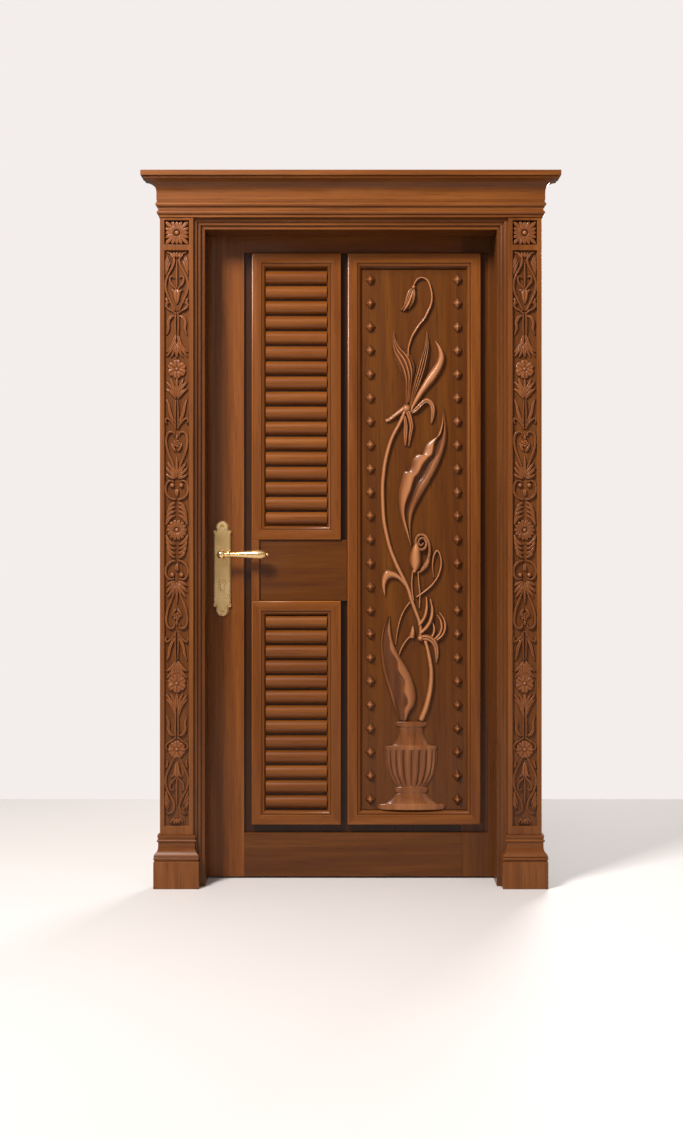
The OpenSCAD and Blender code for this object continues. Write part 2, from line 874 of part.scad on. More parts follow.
module hinge_stile() {
  color(wood) difference() {
    block(hinge_stile_x, leaf_x1, leaf_y0, jamb_d, floor_gap, leaf_z1);
    block(hinge_stile_x - overcut, field_x1, leaf_y0 - overcut, field_y, field_z0, field_z1);
    for (z = hinge_zs)
      block(
        leaf_x1 - hinge_plate_t, leaf_x1 + overcut, jamb_d - hinge_d - let_in_gap, jamb_d + overcut,
        z - hinge_h / 2 - let_in_gap, z + hinge_h / 2 + let_in_gap
      );
    leaf_hinge_screws(let_in_gap);
  }
}

module top_rail() { color(wood) block(field_x0, hinge_stile_x, leaf_y0, jamb_d, field_z1, leaf_z1); }
module bottom_rail() { color(wood) block(field_x0, hinge_stile_x, leaf_y0, jamb_d, floor_gap, field_z0); }

module field_panel() {
  color(dark_wood) block(field_x0, hinge_stile_x, field_y, field_y + field_t, field_z0, field_z1);
}

module raised(x0, x1, z0, z1) {
  color(wood) block(x0, x1, field_y - raised_t, field_y, z0, z1);
}

module louvre_outer_stile() {
  color(wood) difference() {
    raised(column_x0, louvre_x0, raised_z0, raised_z1);
    block(
      column_x0 + edge_strip_w, louvre_x0 + overcut, field_y - raised_t - overcut, field_y + overcut,
      lock_panel_z, lock_panel_z1
    );
  }
}

module upper_inner_stile() { raised(louvre_x1, column_x1, lock_panel_z1, raised_z1); }
module lower_inner_stile() { raised(louvre_x1, column_x1, raised_z0, lock_panel_z); }
module upper_louvre_top_rail() { raised(louvre_x0, louvre_x1, upper_z1, raised_z1); }
module upper_louvre_bottom_rail() { raised(louvre_x0, louvre_x1, lock_panel_z1, upper_z0); }
module lower_louvre_top_rail() { raised(louvre_x0, louvre_x1, lower_z1, lock_panel_z); }
module lower_louvre_bottom_rail() { raised(louvre_x0, louvre_x1, raised_z0, lower_z0); }
module flower_left_stile() { raised(flower_x0, ground_x0, raised_z0, raised_z1); }
module flower_right_stile() { raised(ground_x1, flower_x1, raised_z0, raised_z1); }
module flower_top_rail() { raised(ground_x0, ground_x1, upper_z1, raised_z1); }
module flower_bottom_rail() { raised(ground_x0, ground_x1, raised_z0, lower_z0); }

module lock_panel() {
  color(wood)
    block(column_x0 + edge_strip_w, flower_x0, field_y - lock_panel_t, field_y, lock_panel_z, lock_panel_z1);
}

// Half-round slats, spread evenly over the height of their opening
module slats(z0, z1) {
  count = floor((z1 - z0 + slat_gap) / slat_pitch);
  pitch = (z1 - z0) / count;
  half = (pitch - slat_gap) / 2;
  r = (half * half + slat_bulge * slat_bulge) / (2 * slat_bulge);
  for (i = [0:count - 1])
    translate([louvre_x0 + slat_end_gap, field_y, z0 + pitch * (i + 0.5)]) rotate([90, 0, 90])
      linear_extrude(louvre_x1 - louvre_x0 - 2 * slat_end_gap) intersection() {
        translate([r - slat_bulge, 0]) circle(r = r);
        translate([-slat_bulge - overcut, -half]) square([slat_bulge + overcut, 2 * half]);
      }
}

module upper_slats() { color(wood) slats(upper_z0, upper_z1); }
module lower_slats() { color(wood) slats(lower_z0, lower_z1); }

module flower_ground() {
  color(dark_wood) block(ground_x0, ground_x1, ground_y, field_y, lower_z0, upper_z1);
}

// Diamond studs: pyramids with a blunt point, in a column at each side of the ground
module diamond_studs() {
  count = floor((ground_h - 2 * stud_inset) / stud_pitch) + 1;
  first = (ground_h - (count - 1) * stud_pitch) / 2;
  color(wood)
    for (x = [ground_x0 + stud_inset, ground_x1 - stud_inset], i = [0:count - 1])
      on_face(x, ground_y, lower_z0 + first + i * stud_pitch) polyhedron(
        [
          for (ring = [[1, 0], [0.2, 1]], q = [0:3])
            [cos(90 * q) * stud_w / 2 * ring[0], sin(90 * q) * stud_h / 2 * ring[0], stud_rise * ring[1]]
        ],
        concat(
          [[0, 1, 2, 3], [7, 6, 5, 4]],
          [for (q = [0:3]) [q, 4 + q, 4 + (q + 1) % 4, (q + 1) % 4]]
        )
      );
}

// Flower carving, drawn in units across from the axis of the vase and up from its foot.
// It fills the room between the columns of studs, from the foot of the vase to the top stem.
vase_rows = [
  [0, 0], [34, 0], [34, 5.5], [26, 6], [15, 16], [15, 22.5], [13, 24], [25, 44], [26, 62.5], [18, 64],
  [12, 75], [12, 82], [16, 83], [16, 88], [0, 88]
];
bud_stem = [[2, 521], [6, 530], [11, 532], [17, 528], [20.5, 516], [19, 503], [12, 490], [4, 479], [-3, 460]];
side_margin = 4.7;
top_margin = 8;
drawing_shift = -2.6;
drawing_w = 2 * (vase_rows[1].x + side_margin);
drawing_h = bud_stem[2].y + top_margin;
unit_x = (ground_w - 2 * stud_inset - stud_w) / drawing_w;
unit_y = ground_h / drawing_h;

module vine(path, w, rings, rise = 0.7) {
  stem(path, [w * 0.8, w, w * 0.8], [rise, rise, rise] * relief_rise, rings);
}

module tendril(path, w, rings, rise = 0.55) {
  stem(path, [w, w, w * 0.3], [rise, rise, rise * 0.4] * relief_rise, rings);
}

module petal(left, right, rings = 8, crown = fluted, rise = 0.9) {
  blade(left, right, [rise * 0.6, rise, rise, rise * 0.35] * relief_rise, rings, crown);
}

module top_bud() {
  vine(bud_stem, 2.4, 13);
  petal(
    [[1, 523], [-3, 519], [-6, 511], [-8, 504], [-11, 501]],
    [[3, 521], [1, 513], [-1, 508], [-5, 503], [-9, 499.5]], 6
  );
  petal(
    [[1, 521], [-1, 512], [-2, 506], [-4, 500.5]],
    [[3.5, 520], [4, 512], [2, 505], [-2, 500]], 5, rounded, 0.8
  );
}

module great_bloom() {
  petal(
    [[-6, 402], [-7, 418], [-9, 432], [-14, 444], [-18, 454], [-20, 466], [-18.5, 479]],
    [[-1, 402], [0, 416], [2.5, 432], [2.5, 446], [-1, 456], [-9, 464], [-17, 478]], 10
  );
  petal(
    [[-3, 400], [-0.5, 415], [4, 434], [8, 450], [12, 462], [14, 470], [14.5, 479]],
    [[1, 400], [5, 415], [12, 432], [16.5, 448], [18, 460], [17.5, 470], [15.5, 479]], 10
  );
  petal(
    [[-1, 396], [6, 412], [14, 426], [22, 438], [28, 448], [28, 458], [23, 468.5]],
    [[2, 394], [10, 408], [20, 422], [30, 436], [34, 448], [32, 460], [23.8, 469.5]], 10, rounded, 0.85
  );
  petal(
    [[-2, 398], [5, 404], [11, 410], [16, 412], [21, 409], [24, 404], [22, 394], [20, 386]],
    [[2, 394], [6, 395], [10, 398], [13, 402], [17, 405], [19.5, 402], [20, 394], [19.2, 386]],
    9, rounded, 0.7
  );
  petal(
    [[-5, 406], [-13, 402], [-20, 395], [-27, 391.5]],
    [[-4, 400], [-11, 397], [-18, 391], [-25.5, 386]], 6, rounded, 0.7
  );
  petal(
    [[-7, 398], [-4, 390], [-3, 382], [-5.5, 373], [-6, 363]],
    [[-1, 396], [1.5, 388], [1.5, 380], [-1, 371], [-3, 362]], 7
  );
}

module main_stem() {
  vine(
    [
      [-6, 404], [-14, 384], [-23, 361], [-28, 338], [-29, 313], [-27.5, 288], [-22, 263], [-13, 241],
      [-3, 220], [8, 188], [7, 172]
    ],
    4.2, 15, 0.75
  );
}

module serrated_leaf() {
  petal(
    [
      [0, 261], [-7, 278], [-12, 296], [-13.5, 314], [-10, 331], [-4, 345], [5, 355], [13, 362],
      [20, 370], [28, 380], [31.5, 402]
    ],
    [
      [1.5, 261], [0, 280], [3, 300], [12, 318], [22, 334], [30, 350], [34.5, 364], [36, 376],
      [35, 388], [32.5, 402]
    ],
    12, folded, 0.9
  );
  for (lobe = [[[-2, 330], [-7, 339]], [[8, 344], [0, 355]], [[18, 356], [12, 366]]])
    tendril([lobe[0], lobe[0] * 0.35 + lobe[1] * 0.65 + [-2.5, 0], lobe[1]], 5.5, 4, 0.9);
}

module rosebud() {
  petal([[0, 238], [-2, 246], [-1, 257], [4, 270]], [[5, 238], [8, 246], [7.5, 258], [5.5, 270]], 6);
  tendril(
    [[9, 240], [16, 247], [18, 256], [15, 264], [16, 272], [11, 277], [5, 273], [5, 266], [10, 264]],
    3, 10, 0.8
  );
  vine([[0.6, 240], [0.4, 228], [2, 212]], 2.2, 4, 0.6);
  vine([[7, 238], [7.6, 224], [8.4, 200]], 2.2, 4, 0.6);
}

module side_sprays() {
  tendril(
    [[4, 212], [13, 218], [22, 226], [29, 240], [29.5, 252], [26, 259], [22, 252], [21.5, 242], [22.6, 231]],
    2.2, 11
  );
  petal(
    [[-3, 226], [-13, 237], [-24, 240.5], [-30, 232], [-27, 214]],
    [[-5, 220], [-14, 231], [-22, 231], [-26, 224], [-26, 214]], 8, rounded, 0.7
  );
  tendril([[-1, 208], [-8, 199], [-13, 184], [-15.5, 165]], 2, 6);
  tendril([[-12, 155], [-9, 164], [-4, 172], [1, 176]], 2.2, 4);
  petal([[-3, 172], [-1, 180], [1, 184]], [[4, 171], [4, 179], [2, 184]], 4, rounded, 0.7);
}

module curled_bloom() {
  vine([[7, 186], [13, 192], [15.5, 202], [14, 213]], 2.6, 6);
  vine([[8, 177], [15, 183], [20, 192], [21, 201], [19, 212]], 2.6, 7);
  tendril([[23, 171], [28, 180], [28.5, 188], [24, 195]], 2.4, 6);
  tendril([[26, 172], [32, 180], [32.5, 190], [28, 197]], 2.6, 6);
  petal(
    [[8, 174], [18, 175], [25, 171], [28, 160], [25.5, 147]],
    [[8, 168], [17, 169], [21, 165], [23, 157], [24.5, 147]], 8
  );
}

module long_leaf() {
  petal(
    [[-12, 88], [-19, 106], [-27, 132], [-31.5, 155], [-30, 176], [-22.5, 194]],
    [[-6, 88], [3, 104], [4, 118], [-3, 138], [-14, 156], [-20, 174], [-21.5, 194]], 10, folded, 0.9
  );
  vine([[10, 88], [16, 106], [20, 126], [20, 146], [16.5, 160], [12, 173]], 4, 9, 0.75);
}

// Half-round vase with gadroons, flattened to the depth of the relief
module vase() {
  gadroons = 9;
  scale([unit_x, unit_y, relief_rise / vase_rows[1].x]) {
    rotate([90, 0, 0]) mirror([0, 0, 1]) rotate_extrude(angle = 180, $fn = 16) polygon(vase_rows);
    for (i = [0:gadroons - 1])
      rotate([0, -(i + 0.5) * 180 / gadroons, 0]) hull() {
        translate([23.5, 59, 0]) rotate([90, 0, 0]) cylinder(r = 4.4, h = 16, $fn = 6);
        translate([13, 27, 0]) rotate([90, 0, 0]) cylinder(r = 2.2, h = 3, $fn = 6);
      }
  }
}

module flower_carving() {
  axis_x = (ground_x0 + ground_x1) / 2 + drawing_shift * unit_x;
  color(wood) on_face(axis_x, ground_y, lower_z0) intersection() {
    union() {
      scale([unit_x, unit_y, 1]) {
        top_bud();
        great_bloom();
        main_stem();
        serrated_leaf();
        rosebud();
        side_sprays();
        curled_bloom();
        long_leaf();
      }
      vase();
    }
    translate([-ground_w, 0, 0]) cube([2 * ground_w, ground_h, relief_rise + overcut]);
  }
}

// Lock and handles

// Cuts straight through the leaf, from a shape drawn in X and Z at the lever axis
module through_leaf(z) {
  translate([lever_x, jamb_d + overcut, z]) rotate([90, 0, 0])
    linear_extrude(leaf_t + 2 * overcut) children();
}

// Outline of the key cylinder: a round head over a narrow round-ended lobe
module key_outline(gap) {
  lobe_r = 5;
  lobe_z = 19.5;
  circle(r = key_r + gap);
  translate([0, -lobe_z]) circle(r = lobe_r + gap);
  translate([-lobe_r - gap, -lobe_z]) square([2 * (lobe_r + gap), lobe_z]);
}

module plate_bolt_places() {
  for (z = [case_z1 + plate_bolt_above, case_z0 - plate_bolt_below])
    translate([lever_x, 0, z]) children();
}

module plate_bolt_holes(gap) {
  plate_bolt_places() translate([0, jamb_d + overcut, 0]) rotate([90, 0, 0])
    cylinder(r = bolt_r + gap, h = leaf_t + 2 * overcut);
}

module forend_screws(gap) {
  for (z = [case_z0 - forend_margin / 2, case_z1 + forend_margin / 2])
    translate([leaf_x0, lock_y, z]) rotate([0, -90, 0]) countersunk(gap, screw_l);
}

module leaf_screws() {
  color(steel) {
    leaf_hinge_screws(0);
    forend_screws(0);
  }
}

// Openings for the two bolts, from the face of the forend inwards
module bolt_slots(depth) {
  for (b = [[lever_z, latch_t, latch_h], [bolt_z, bolt_t, bolt_h]])
    block(
      leaf_x0 - overcut, leaf_x0 + depth, lock_y - b[1] / 2 - slide_gap, lock_y + b[1] / 2 + slide_gap,
      b[0] - b[2] / 2 - slide_gap, b[0] + b[2] / 2 + slide_gap
    );
}

module lock_case() {
  inside = case_t / 2 - case_wall;
  color(steel) difference() {
    block(case_x0, case_x0 + case_w, lock_y - case_t / 2, lock_y + case_t / 2, case_z0, case_z1);
    block(
      case_x0 + case_wall, case_x0 + case_w - case_wall, lock_y - inside, lock_y + inside,
      case_z0 + case_wall, case_z1 - case_wall
    );
    bolt_slots(forend_t + case_wall + overcut);
    through_leaf(lever_z) circle(r = hub_neck_r + run_gap);
    through_leaf(key_z) key_outline(slide_gap);
  }
}

module lock_forend() {
  color(brass) difference() {
    block(
      leaf_x0, case_x0, lock_y - forend_w / 2, lock_y + forend_w / 2,
      case_z0 - forend_margin, case_z1 + forend_margin
    );
    bolt_slots(forend_t + overcut);
    forend_screws(run_gap);
  }
}

module latch_bolt() {
  nose = leaf_x0 - latch_throw;
  tail = leaf_x0 + latch_l;
  half = latch_t / 2;
  color(brass) translate([0, lock_y, lever_z - latch_h / 2]) linear_extrude(latch_h)
    polygon([[tail, -half], [tail, half], [nose, half], [nose, half - 3], [leaf_x0 - 1, -half]]);
}

module deadbolt() {
  color(brass) block(
    leaf_x0, leaf_x0 + bolt_l, lock_y - bolt_t / 2, lock_y + bolt_t / 2,
    bolt_z - bolt_h / 2, bolt_z + bolt_h / 2
  );
}

module follower() {
  hub_l = case_t - 2 * case_wall - 2 * slide_gap;
  color(steel) translate([lever_x, lock_y, lever_z]) rotate([90, 0, 0]) difference() {
    union() {
      cylinder(r = hub_r, h = hub_l, center = true);
      cylinder(r = hub_neck_r, h = case_t, center = true);
    }
    cube([spindle_a + 2 * run_gap, spindle_a + 2 * run_gap, case_t + overcut], center = true);
  }
}

module cylinder_body() {
  length = leaf_t + 2 * plate_t + 2;
  color(brass) translate([lever_x, lock_y, key_z]) rotate([90, 0, 0]) difference() {
    translate([0, 0, -length / 2]) linear_extrude(length) key_outline(0);
    cylinder(r = plug_r + run_gap, h = length + overcut, center = true);
    translate([-cam_r, -cam_r - 0.8, -cam_room / 2]) cube([2 * cam_r, 2 * cam_r, cam_room]);
  }
}

// Turning plug, with a keyway at each end and the cam that drives the deadbolt
module cylinder_plug() {
  length = leaf_t + 2 * plate_t + 2;
  keyway_w = 2.2;
  keyway_h = 8;
  keyway_d = 12;
  color(brass) translate([lever_x, lock_y, key_z]) rotate([90, 0, 0]) {
    difference() {
      cylinder(r = plug_r, h = length, center = true);
      for (s = [-1, 1])
        translate([0, -1, s * length / 2]) cube([keyway_w, keyway_h, 2 * keyway_d], center = true);
    }
    difference() {
      union() {
        cylinder(r = key_r - 0.5, h = cam_t, center = true);
        translate([-4, -cam_r + 0.5, -cam_t / 2]) cube([8, cam_r - 0.5, cam_t]);
      }
      cylinder(r = plug_r - 0.5, h = cam_t + overcut, center = true);
    }
  }
}

// Long plate: straight sides, small round shoulders and a bell-shaped arch at each end
module plate_outline(inset) {
  half = plate_w / 2 - inset;
  straight = plate_h / 2 - plate_end;
  arch_r = plate_w * 0.37;
  waist = arch_r * 0.86;
  ear_r = plate_w * 0.12;
  ear_out = ear_r * 0.72;
  translate([-half, -straight - inset / 2]) square([2 * half, 2 * straight + inset]);
  for (s = [-1, 1]) {
    translate([0, s * (plate_h / 2 - arch_r)]) circle(r = arch_r - inset);
    translate([-waist + inset, s > 0 ? straight - overcut : -plate_h / 2 + arch_r])
      square([2 * (waist - inset), plate_end - arch_r + overcut]);
    for (e = [-1, 1])
      translate([e * (plate_w / 2 - ear_out), s * straight]) circle(r = ear_r - inset / 2);
  }
}

// Plate flat on X and Y with its back at zero: a thin rim and a raised field inside it
module long_plate() {
  border = 4;
  rim_t = plate_t * 0.6;
  difference() {
    union() {
      linear_extrude(rim_t) plate_outline(0);
      linear_extrude(plate_t) plate_outline(border);
    }
    translate([0, key_drop / 2, -overcut]) cylinder(r = lever_neck_r + run_gap, h = plate_t + 2 * overcut);
    translate([0, -key_drop / 2, -overcut]) linear_extrude(plate_t + 2 * overcut) key_outline(let_in_gap);
  }
}

module outside_plate() {
  depth = plate_t - plate_bolt_cover;
  color(brass) difference() {
    on_face(lever_x, leaf_y0, (lever_z + key_z) / 2) long_plate();
    plate_bolt_places() translate([0, leaf_y0 + overcut, 0]) rotate([90, 0, 0])
      cylinder(r = bolt_r + run_gap, h = depth + overcut);
  }
}

module inside_plate() {
  color(brass) difference() {
    translate([lever_x, jamb_d, (lever_z + key_z) / 2]) rotate([-90, 0, 0]) mirror([0, 1, 0]) long_plate();
    plate_bolts_at(run_gap);
  }
}

module plate_bolts_at(gap) {
  length = leaf_t + 2 * plate_t - plate_bolt_cover - slide_gap;
  head_r = screw_head_r + gap;
  plate_bolt_places() translate([0, jamb_d + plate_t, 0]) rotate([-90, 0, 0]) {
    translate([0, 0, -screw_head_h - gap]) cylinder(r1 = bolt_r + gap, r2 = head_r, h = screw_head_h + gap);
    translate([0, 0, -length]) cylinder(r = bolt_r + gap, h = length);
  }
}

module plate_bolts() { color(steel) plate_bolts_at(0); }

// Lever: a neck out of the plate, a ball on its axis and a swelling grip with rings and a finial
module lever() {
  ball_r = 14;
  finial_r = 5;
  grip = [
    [0, 0], [8, 0], [8, 20], [11.5, 21.5], [12, 24], [11.5, 26.5], [8.5, 28], [8.5, 36], [9.5, 55],
    [11.5, 75], [13.5, 95], [15, 110], [15.5, 120], [15, 129], [13, 137], [9.5, 143], [5, 147]
  ];
  neck_end = grip[len(grip) - 1].y;
  finial_sink = 3;
  stretch = (lever_l - finial_r) / (neck_end + finial_sink);
  reach = lever_stand + plate_t - lever_seat;
  socket = lever_stand - spindle_cover;
  difference() {
    union() {
      cylinder(r = lever_neck_r, h = reach);
      translate([0, 0, reach]) sphere(r = ball_r);
      translate([0, 0, reach]) rotate([0, 90, 0]) {
        rotate_extrude() polygon(concat([for (p = grip) [p.x, p.y * stretch]], [[0, neck_end * stretch]]));
        translate([0, 0, lever_l - finial_r]) sphere(r = finial_r);
      }
    }
    translate([0, 0, socket / 2 - overcut])
      cube([spindle_a + 2 * run_gap, spindle_a + 2 * run_gap, socket + 2 * overcut], center = true);
  }
}

module outside_lever() {
  color(brass) translate([lever_x, leaf_y0 - lever_seat, lever_z]) rotate([90, 0, 0]) lever();
}

module inside_lever() {
  color(brass) translate([lever_x, jamb_d + lever_seat, lever_z]) rotate([-90, 0, 0]) lever();
}

module spindle() {
  reach = lever_stand + lever_seat - spindle_cover - spindle_play;
  color(steel) translate([lever_x, lock_y, lever_z])
    cube([spindle_a, leaf_t + 2 * reach, spindle_a], center = true);
}

left_jamb();
right_jamb();
head_jamb();
left_architrave();
right_architrave();
head_architrave();
left_pilaster();
right_pilaster();
left_scrollwork();
right_scrollwork();
left_rosette();
right_rosette();
left_base();
right_base();
left_plinth();
right_plinth();
bed_mould();
crown();
strike_plate();
frame_screws();
hinge_frame_plates();
hinge_pins();
lock_stile();
hinge_stile();
top_rail();
bottom_rail();
field_panel();
louvre_outer_stile();
upper_inner_stile();
lower_inner_stile();
upper_louvre_top_rail();
upper_louvre_bottom_rail();
lower_louvre_top_rail();
lower_louvre_bottom_rail();
upper_slats();
lower_slats();
lock_panel();
flower_left_stile();
flower_right_stile();
flower_top_rail();
flower_bottom_rail();
flower_ground();
flower_carving();
diamond_studs();
hinge_leaf_plates();
leaf_screws();
lock_case();
lock_forend();
cylinder_body();
outside_plate();
inside_plate();
plate_bolts();
outside_lever();
inside_lever();
spindle();
follower();
latch_bolt();
deadbolt();
cylinder_plug();
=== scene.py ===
import math
import bpy
import bmesh
from mathutils import Matrix, Vector


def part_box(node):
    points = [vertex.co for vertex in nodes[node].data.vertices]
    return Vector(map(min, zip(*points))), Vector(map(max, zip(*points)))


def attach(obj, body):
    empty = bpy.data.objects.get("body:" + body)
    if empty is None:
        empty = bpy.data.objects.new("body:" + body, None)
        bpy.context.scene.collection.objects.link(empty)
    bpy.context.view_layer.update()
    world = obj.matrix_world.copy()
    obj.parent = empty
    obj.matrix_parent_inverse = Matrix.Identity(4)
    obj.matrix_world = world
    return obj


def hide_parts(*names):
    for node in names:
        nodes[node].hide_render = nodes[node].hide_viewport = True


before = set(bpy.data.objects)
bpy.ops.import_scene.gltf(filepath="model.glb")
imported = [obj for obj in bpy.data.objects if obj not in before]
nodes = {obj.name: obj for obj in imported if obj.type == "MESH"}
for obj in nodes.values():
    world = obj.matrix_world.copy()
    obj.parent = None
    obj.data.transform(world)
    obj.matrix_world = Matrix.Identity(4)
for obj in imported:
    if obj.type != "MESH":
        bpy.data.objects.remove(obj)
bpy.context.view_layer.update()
print("door frame loaded:", len(nodes), "nodes")


# materials

def plug(tree, value, socket):
    if hasattr(value, "is_output"):
        tree.links.new(value, socket)
    else:
        socket.default_value = value


def feed(tree, node, **values):
    for key, value in values.items():
        if hasattr(node, key):
            setattr(node, key, value)
        else:
            plug(tree, value, node.inputs[key.replace("_", " ")])
    return node


def addNode(tree, kind, **values):
    return feed(tree, tree.nodes.new(kind), **values)


def mapped(tree, vector, **values):
    return addNode(tree, "ShaderNodeMapping", Vector=vector, **values).outputs["Vector"]


def noise(tree, vector, scale, detail, roughness=0.5, distortion=0.0):
    return addNode(tree, "ShaderNodeTexNoise", Vector=vector, Scale=scale, Detail=detail, Roughness=roughness,
                   Distortion=distortion).outputs["Fac"]


def mathNode(tree, operation, *values):
    node = addNode(tree, "ShaderNodeMath", operation=operation)
    for socket, value in zip(node.inputs, values):
        plug(tree, value, socket)
    return node.outputs["Value"]


def newMaterial(name):
    material = bpy.data.materials.new(name)
    material.use_nodes = True
    return material, material.node_tree, material.node_tree.nodes["Principled BSDF"]


def rampBetween(tree, source, stops):
    ramp = tree.nodes.new("ShaderNodeValToRGB")
    band = ramp.color_ramp
    while len(band.elements) < len(stops):
        band.elements.new(0.5)
    for element, (place, colour) in zip(band.elements, stops):
        element.position = place
        element.color = (*colour, 1.0)
    tree.links.new(source, ramp.inputs["Fac"])
    return ramp.outputs["Color"]


def mixColours(tree, share, a, b):
    b = b if hasattr(b, "is_output") else (*b, 1.0)
    return addNode(tree, "ShaderNodeMix", data_type="RGBA", Factor=share, A=a, B=b).outputs["Result"]


def greyRamp(tree, source, low, high, bottom=0.0, top=1.0):
    limits = {"From_Min": low, "From_Max": high, "To_Min": bottom, "To_Max": top}
    return addNode(tree, "ShaderNodeMapRange", Value=source, **limits).outputs["Result"]


# colours of the lacquer over the wood, from the dark streaks to the light ones
woodTones = {
    "frame": ((0.078, 0.020, 0.003), (0.165, 0.050, 0.009), (0.240, 0.085, 0.020)),
    "shade": ((0.055, 0.014, 0.002), (0.110, 0.033, 0.006), (0.165, 0.055, 0.012)),
    "leaf": ((0.078, 0.019, 0.002), (0.165, 0.047, 0.006), (0.240, 0.080, 0.014)),
    "ground": ((0.049, 0.011, 0.0013), (0.097, 0.028, 0.0027), (0.143, 0.047, 0.0055)),
    "carved": ((0.072, 0.018, 0.004), (0.185, 0.060, 0.017), (0.360, 0.150, 0.062)),
    "strip": ((0.062, 0.015, 0.003), (0.138, 0.039, 0.009), (0.225, 0.078, 0.024)),
}
grainTurn = {"Z": (0.0, 0.0, 0.0), "X": (0.0, math.radians(90), 0.0)}

# how the grain is drawn, how far each layer shows, the painted shade in low carved parts and in sunk parts, the
# painted highlight on raised carved parts, and the gloss of the lacquer
lacquer = {
    "shiftSteps": (0.37, 0.53, 0.21), "figureLength": 0.07, "poreLength": 0.022,
    "figureScale": 9.0, "bandScale": 11.0, "poreScale": 420.0, "streakScale": 85.0,
    "bandShare": 0.16, "streakShare": 0.40, "poreShare": 0.55, "poreDark": 0.45,
    "paintedShadeTo": 0.64, "paintedShadeShare": 0.92, "paintedShadeDark": 0.30,
    "crestFrom": 0.68, "crestShare": 0.62, "crestLight": 1.35,
    "recessEdge": (-0.001, 0.0005), "paintedRecessShade": 0.35,
    "dullStreaks": 0.08, "glossyStreaks": 0.04,
    "finish": {"IOR": 1.45, "Specular_IOR_Level": 0.22, "Coat_Weight": 0.10, "Coat_Roughness": 0.10},
}


def lacqueredWood(name, tone, grain, shift, crest=False, gloss=0.30, recess=None):
    material, tree, shader = newMaterial(name)
    dark, middle, light = woodTones[tone]

    def darker(share):
        return tuple(c * share for c in dark)

    place = addNode(tree, "ShaderNodeTexCoord").outputs["Object"]
    turn = mapped(tree, place, Rotation=grainTurn[grain],
                  Location=tuple(shift * step for step in lacquer["shiftSteps"]))
    stretch = mapped(tree, turn, Scale=(1.0, 1.0, lacquer["figureLength"]))
    fine = mapped(tree, turn, Scale=(1.0, 1.0, lacquer["poreLength"]))
    figure = noise(tree, stretch, lacquer["figureScale"], 4.0, 0.55, 0.6)
    bands = addNode(tree, "ShaderNodeTexWave", Vector=stretch, bands_direction="DIAGONAL",
                    Scale=lacquer["bandScale"], Distortion=7.0, Detail=3.0, Detail_Scale=1.4).outputs["Fac"]
    pores = noise(tree, fine, lacquer["poreScale"], 2.0, 0.6)
    streaks = noise(tree, fine, lacquer["streakScale"], 3.0, 0.6)
    base = rampBetween(tree, figure, [(0.12, dark), (0.5, middle), (0.92, light)])
    bandColour = rampBetween(tree, bands, [(0.1, dark), (0.6, middle), (0.95, light)])
    colour = mixColours(tree, lacquer["bandShare"], base, bandColour)
    colour = mixColours(tree, greyRamp(tree, streaks, 0.36, 0.66, lacquer["streakShare"], 0.0), colour, dark)
    colour = mixColours(tree, greyRamp(tree, pores, 0.30, 0.44, lacquer["poreShare"], 0.0), colour,
                        darker(lacquer["poreDark"]))
    if crest:  # painted shade darkens the low parts of a carving and a painted highlight lightens its raised parts
        height = addNode(tree, "ShaderNodeAttribute", attribute_name="crest").outputs["Fac"]
        paintedShade = greyRamp(tree, height, 0.0, lacquer["paintedShadeTo"], lacquer["paintedShadeShare"], 0.0)
        paintedLightShare = greyRamp(tree, height, lacquer["crestFrom"], 1.0, 0.0, lacquer["crestShare"])
        colour = mixColours(tree, paintedShade, colour, darker(lacquer["paintedShadeDark"]))
        colour = mixColours(tree, paintedLightShare, colour, tuple(c * lacquer["crestLight"] for c in light))
    if recess:  # painted shade darkens a sunk part, from one depth to the other
        split = addNode(tree, "ShaderNodeSeparateXYZ", Vector=place).outputs
        away = mathNode(tree, "ABSOLUTE", mathNode(tree, "SUBTRACT", split["X"], recess["middle"]))
        inside, outside = (recess["half"] + step for step in lacquer["recessEdge"])
        sunk = mathNode(tree, "MULTIPLY", greyRamp(tree, away, inside, outside, 1.0, 0.0),
                        greyRamp(tree, split["Y"], *recess["depths"], *recess["shares"]))
        colour = mixColours(tree, sunk, colour, darker(lacquer["paintedRecessShade"]))
    dull, glossy = gloss + lacquer["dullStreaks"], gloss - lacquer["glossyStreaks"]
    bump = addNode(tree, "ShaderNodeBump", Strength=0.18, Distance=0.0006, Height=pores)
    wave = addNode(tree, "ShaderNodeBump", Strength=0.10, Distance=0.002, Height=figure,
                   Normal=bump.outputs["Normal"])
    feed(tree, shader, Base_Color=colour, Roughness=greyRamp(tree, streaks, 0.3, 0.7, dull, glossy),
         Normal=wave.outputs["Normal"], **lacquer["finish"])
    return material


metalLook = {"tarnishScale": 16.0, "scratchScale": 520.0, "scratchDepth": 0.06, "metallic": 0.92,
             "dullTarnish": 0.10, "brightTarnish": 0.04}


def polishedMetal(name, pale, deep, roughness, brushed=(1.0, 1.0, 1.0)):
    material, tree, shader = newMaterial(name)
    place = addNode(tree, "ShaderNodeTexCoord").outputs["Object"]
    stretch = mapped(tree, place, Scale=brushed)
    tarnish = noise(tree, stretch, metalLook["tarnishScale"], 4.0)
    scratches = noise(tree, stretch, metalLook["scratchScale"], 2.0)
    dull, bright = roughness + metalLook["dullTarnish"], roughness - metalLook["brightTarnish"]
    bump = addNode(tree, "ShaderNodeBump", Strength=metalLook["scratchDepth"], Distance=0.0004,
                   Height=scratches)
    feed(tree, shader, Base_Color=rampBetween(tree, tarnish, [(0.32, deep), (0.62, pale)]),
         Roughness=greyRamp(tree, tarnish, 0.3, 0.7, dull, bright), Metallic=metalLook["metallic"],
         Normal=bump.outputs["Normal"])
    return material
